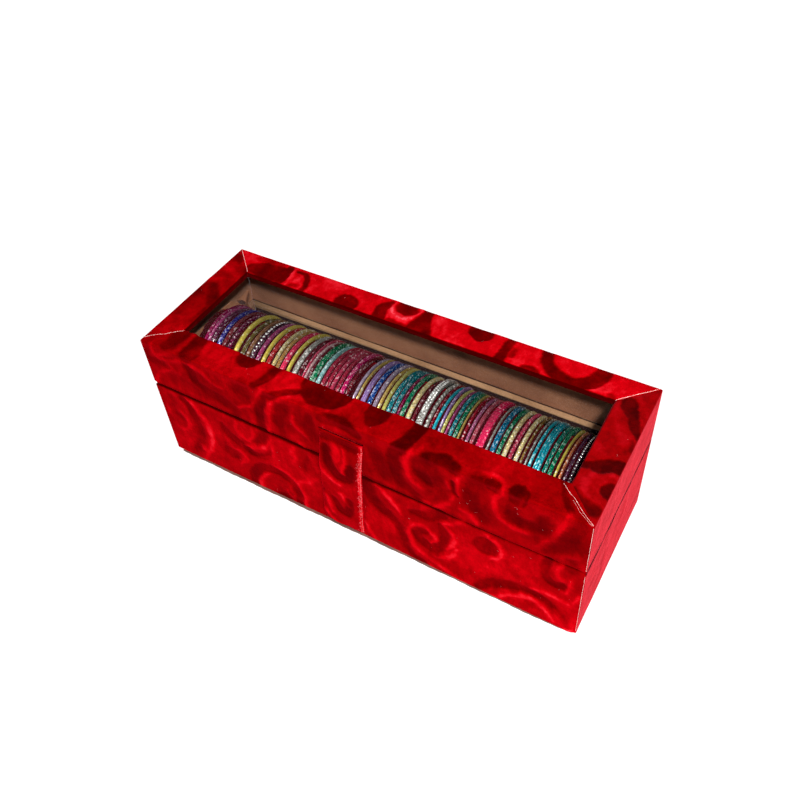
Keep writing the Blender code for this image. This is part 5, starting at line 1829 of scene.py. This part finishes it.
def make_stage():
    """A pale floor that is white to the camera and keeps the box's shadow."""
    bpy.ops.mesh.primitive_plane_add(size=12.0, location=(0, 0, -0.0002))
    floor = bpy.context.object
    floor.name = "floor"
    nodes = Nodes("floor_white")
    plain = nodes.fed("ShaderNodeBsdfDiffuse", Color=(0.8, 0.8, 0.8, 1.0))
    shaded = nodes.fed("ShaderNodeBsdfDiffuse", Color=(0.42, 0.42, 0.42, 1.0))
    away = nodes.add("ShaderNodeVectorMath", operation="LENGTH")
    nodes.link(nodes.place(), away.inputs[0])
    limits = {"From Min": 0.16, "From Max": 0.60, "To Min": 0.74, "To Max": 1.0}
    strength = nodes.fed("ShaderNodeMapRange", Value=away.outputs["Value"], **limits)
    glow = nodes.fed("ShaderNodeEmission", Color=WHITE, Strength=strength.outputs["Result"])
    both = nodes.add("ShaderNodeAddShader")
    nodes.link(shaded.outputs[0], both.inputs[0])
    nodes.link(glow.outputs[0], both.inputs[1])
    coat(floor, nodes.blend_shaders(nodes.seen_directly(), plain, both))


def make_world():
    """Even light from all round, and a white background."""
    world = bpy.data.worlds.new("plain_world")
    bpy.context.scene.world = world
    nodes = Nodes("plain_world", world)
    light = nodes.fed("ShaderNodeBackground", Strength=0.28)
    white = nodes.fed("ShaderNodeBackground", Strength=1.0)
    nodes.blend_shaders(nodes.seen_directly(), light, white)


def make_lamp(name, place, size, power):
    """A round lamp that points at the box's middle."""
    lamp = bpy.data.lights.new(name, "AREA")
    lamp.shape = "DISK"
    lamp.size = size
    lamp.energy = power
    made = bpy.data.objects.new(name, lamp)
    made.location = place
    made.rotation_mode = "QUATERNION"
    made.rotation_quaternion = (Vector(LAMP_TARGET) - Vector(place)).to_track_quat("-Z", "Y")
    bpy.context.collection.objects.link(made)


def make_camera():
    """The camera, fitted to the photograph's view."""
    data = bpy.data.cameras.new("camera")
    settings = {
        "sensor_width": 36.0, "lens": 38.516, "shift_x": 0.0117, "shift_y": -0.0480,
        "clip_start": 0.01, "clip_end": 20.0,
    }
    for key, value in settings.items():
        setattr(data, key, value)
    camera = bpy.data.objects.new("camera", data)
    right = Vector((0.85940, 0.50752, -0.06211))
    upward = Vector((-0.31691, 0.62404, 0.71424))
    forward = Vector((-0.40125, 0.59413, -0.69714))
    turn = Matrix((right, upward, -forward)).transposed()
    camera.matrix_world = Matrix.Translation((0.1960, -0.2860, 0.4384)) @ turn.to_4x4()
    bpy.context.collection.objects.link(camera)
    bpy.context.scene.camera = camera


def dress_nodes():
    """Give the carried-over CAD nodes their materials, and fit the boards and linings to the parting line."""
    board = board_material("greyboard_flecked")
    lining = paper_material("lining_paper", (176, 124, 94), (148, 102, 78))
    liner = paper_material("liner_card", (142, 106, 82), (116, 86, 68), 0.82)
    coats = {
        "lid_lining": lining, "base_liner": liner, "cradle": liner,
        "floor_lining": paper_material("floor_paper", (168, 128, 98), (140, 104, 80)),
        "window_pane": film_material("window_film"),
        "base_board": board, "lid_board": board, "frame_board": board, "bottom_board": board,
    }
    for name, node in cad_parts.items():
        for start, material in coats.items():
            if name.startswith(start):
                coat(node, material)
    for side in ("front", "left", "right"):
        warped_copy("base_board_" + side, "base", "greyboard", -1.0, board)
        warped_copy("lid_board_" + side, "lid", "greyboard", 1.0, board)
        warped_copy("base_liner_" + side, "base", "beige_card", 1.0, liner)
        warped_copy("lid_lining_" + side, "lid", "beige_paper", 1.0, lining)
    warped_copy("base_liner_back", "base", "beige_card", -1.0, back_liner_material("liner_card_back_painted_shade"))
    brown = paper_material("lining_paper_back", (166, 114, 86), (134, 88, 66))
    warped_copy("lid_lining_back", "lid", "beige_paper", 1.0, brown)


def make_parting_shade_line():
    """A dark line along the top of the back's liner: painted shade in the gap at the parting."""
    line = []
    for x in np.linspace(-LENGTH / 2 + 0.0042, LENGTH / 2 - 0.0042, 120):
        height = RIM_HEIGHT + 0.0001 + 0.0001 * math.sin(x * 47.0) + 0.0001 * math.sin(x * 160.0)
        line.append((float(x), DEPTH / 2 - 0.0046, height))
    # Dark paper for the line: painted shade
    parting_line_shade = paper_material("parting_shade_line", (70, 40, 28), (44, 24, 18), 0.7)
    settle(tube("parting_shade_line", line, [0.00042] * len(line), parting_line_shade, 8), "base", "beige_card")


def main():
    """Build every piece, then the stage, the lights and the camera."""
    bpy.context.scene.view_settings.view_transform = "Standard"
    make_camera()
    velvet = velvet_material("velvet_scroll", VELVET_COLOURS, 0.5)
    # The right wall's velvet copy, paler and pinker: painted sheen
    turned = velvet_material("velvet_painted_sheen", RIGHT_SHEEN_COLOURS, 0.42, RIGHT_SHEEN_TINT)
    maroon = velvet_material("velvet_roll", MAROON_COLOURS, 0.2)
    dyed = thread_material("tab_threads", (236, 92, 98), (206, 22, 38), 0.50)
    lip = thread_material("slit_threads", (168, 24, 28), (112, 4, 10), 0.52, 0.0)
    shadowed = thread_material("slit_shade", (40, 0, 2), (24, 0, 2), 0.5, 0.0)
    lint = thread_material("lint_fibres", (214, 150, 146), (206, 80, 84), 0.55)
    dress_nodes()
    make_parting_shade_line()
    for side in SIDES:
        pile = turned if side == "right" else velvet
        base_velvet(side, pile)
        lid_velvet(side, pile)
    hinge_cloth(velvet)
    make_tab(velvet, dyed, lip, shadowed)
    make_lint("tab_worn_pile", 210, 8, tab_spot, "tab", dyed, WORN_FIBRE_RADIUS)
    make_patches(nylon_material("hook_and_loop"))
    make_roll(maroon)
    # Dark paper for the disc in the scroll's mouth: painted shade
    inside = paper_material("scroll_painted_shade", (92, 60, 54), (64, 42, 40), 0.9)
    make_end_sheet(paper_material("loose_sheet", (170, 114, 82), (140, 92, 68), 0.8), inside)
    make_bottom_card(paper_material("bottom_card", (132, 100, 90), (98, 70, 62), 0.9, 1400.0))
    make_bangles()
    make_threads(thread_material("cut_threads", (252, 214, 206), (214, 84, 84), 0.54))
    make_lint("lint_base_front", 26, 5, front_spot(0.006, 0.055), "base", lint)
    make_lint("lint_lid_front", 16, 6, front_spot(0.067, 0.096), "lid", lint)
    make_lint("lint_lid_top", 16, 7, top_spot, "lid", lint)
    make_stage()
    make_world()
    make_lamp("key", (0.42, -0.50, 0.91), 0.12, 13.7)
    make_lamp("fill", (-0.3, -1.2, 0.5), 0.8, 1.2)


main()
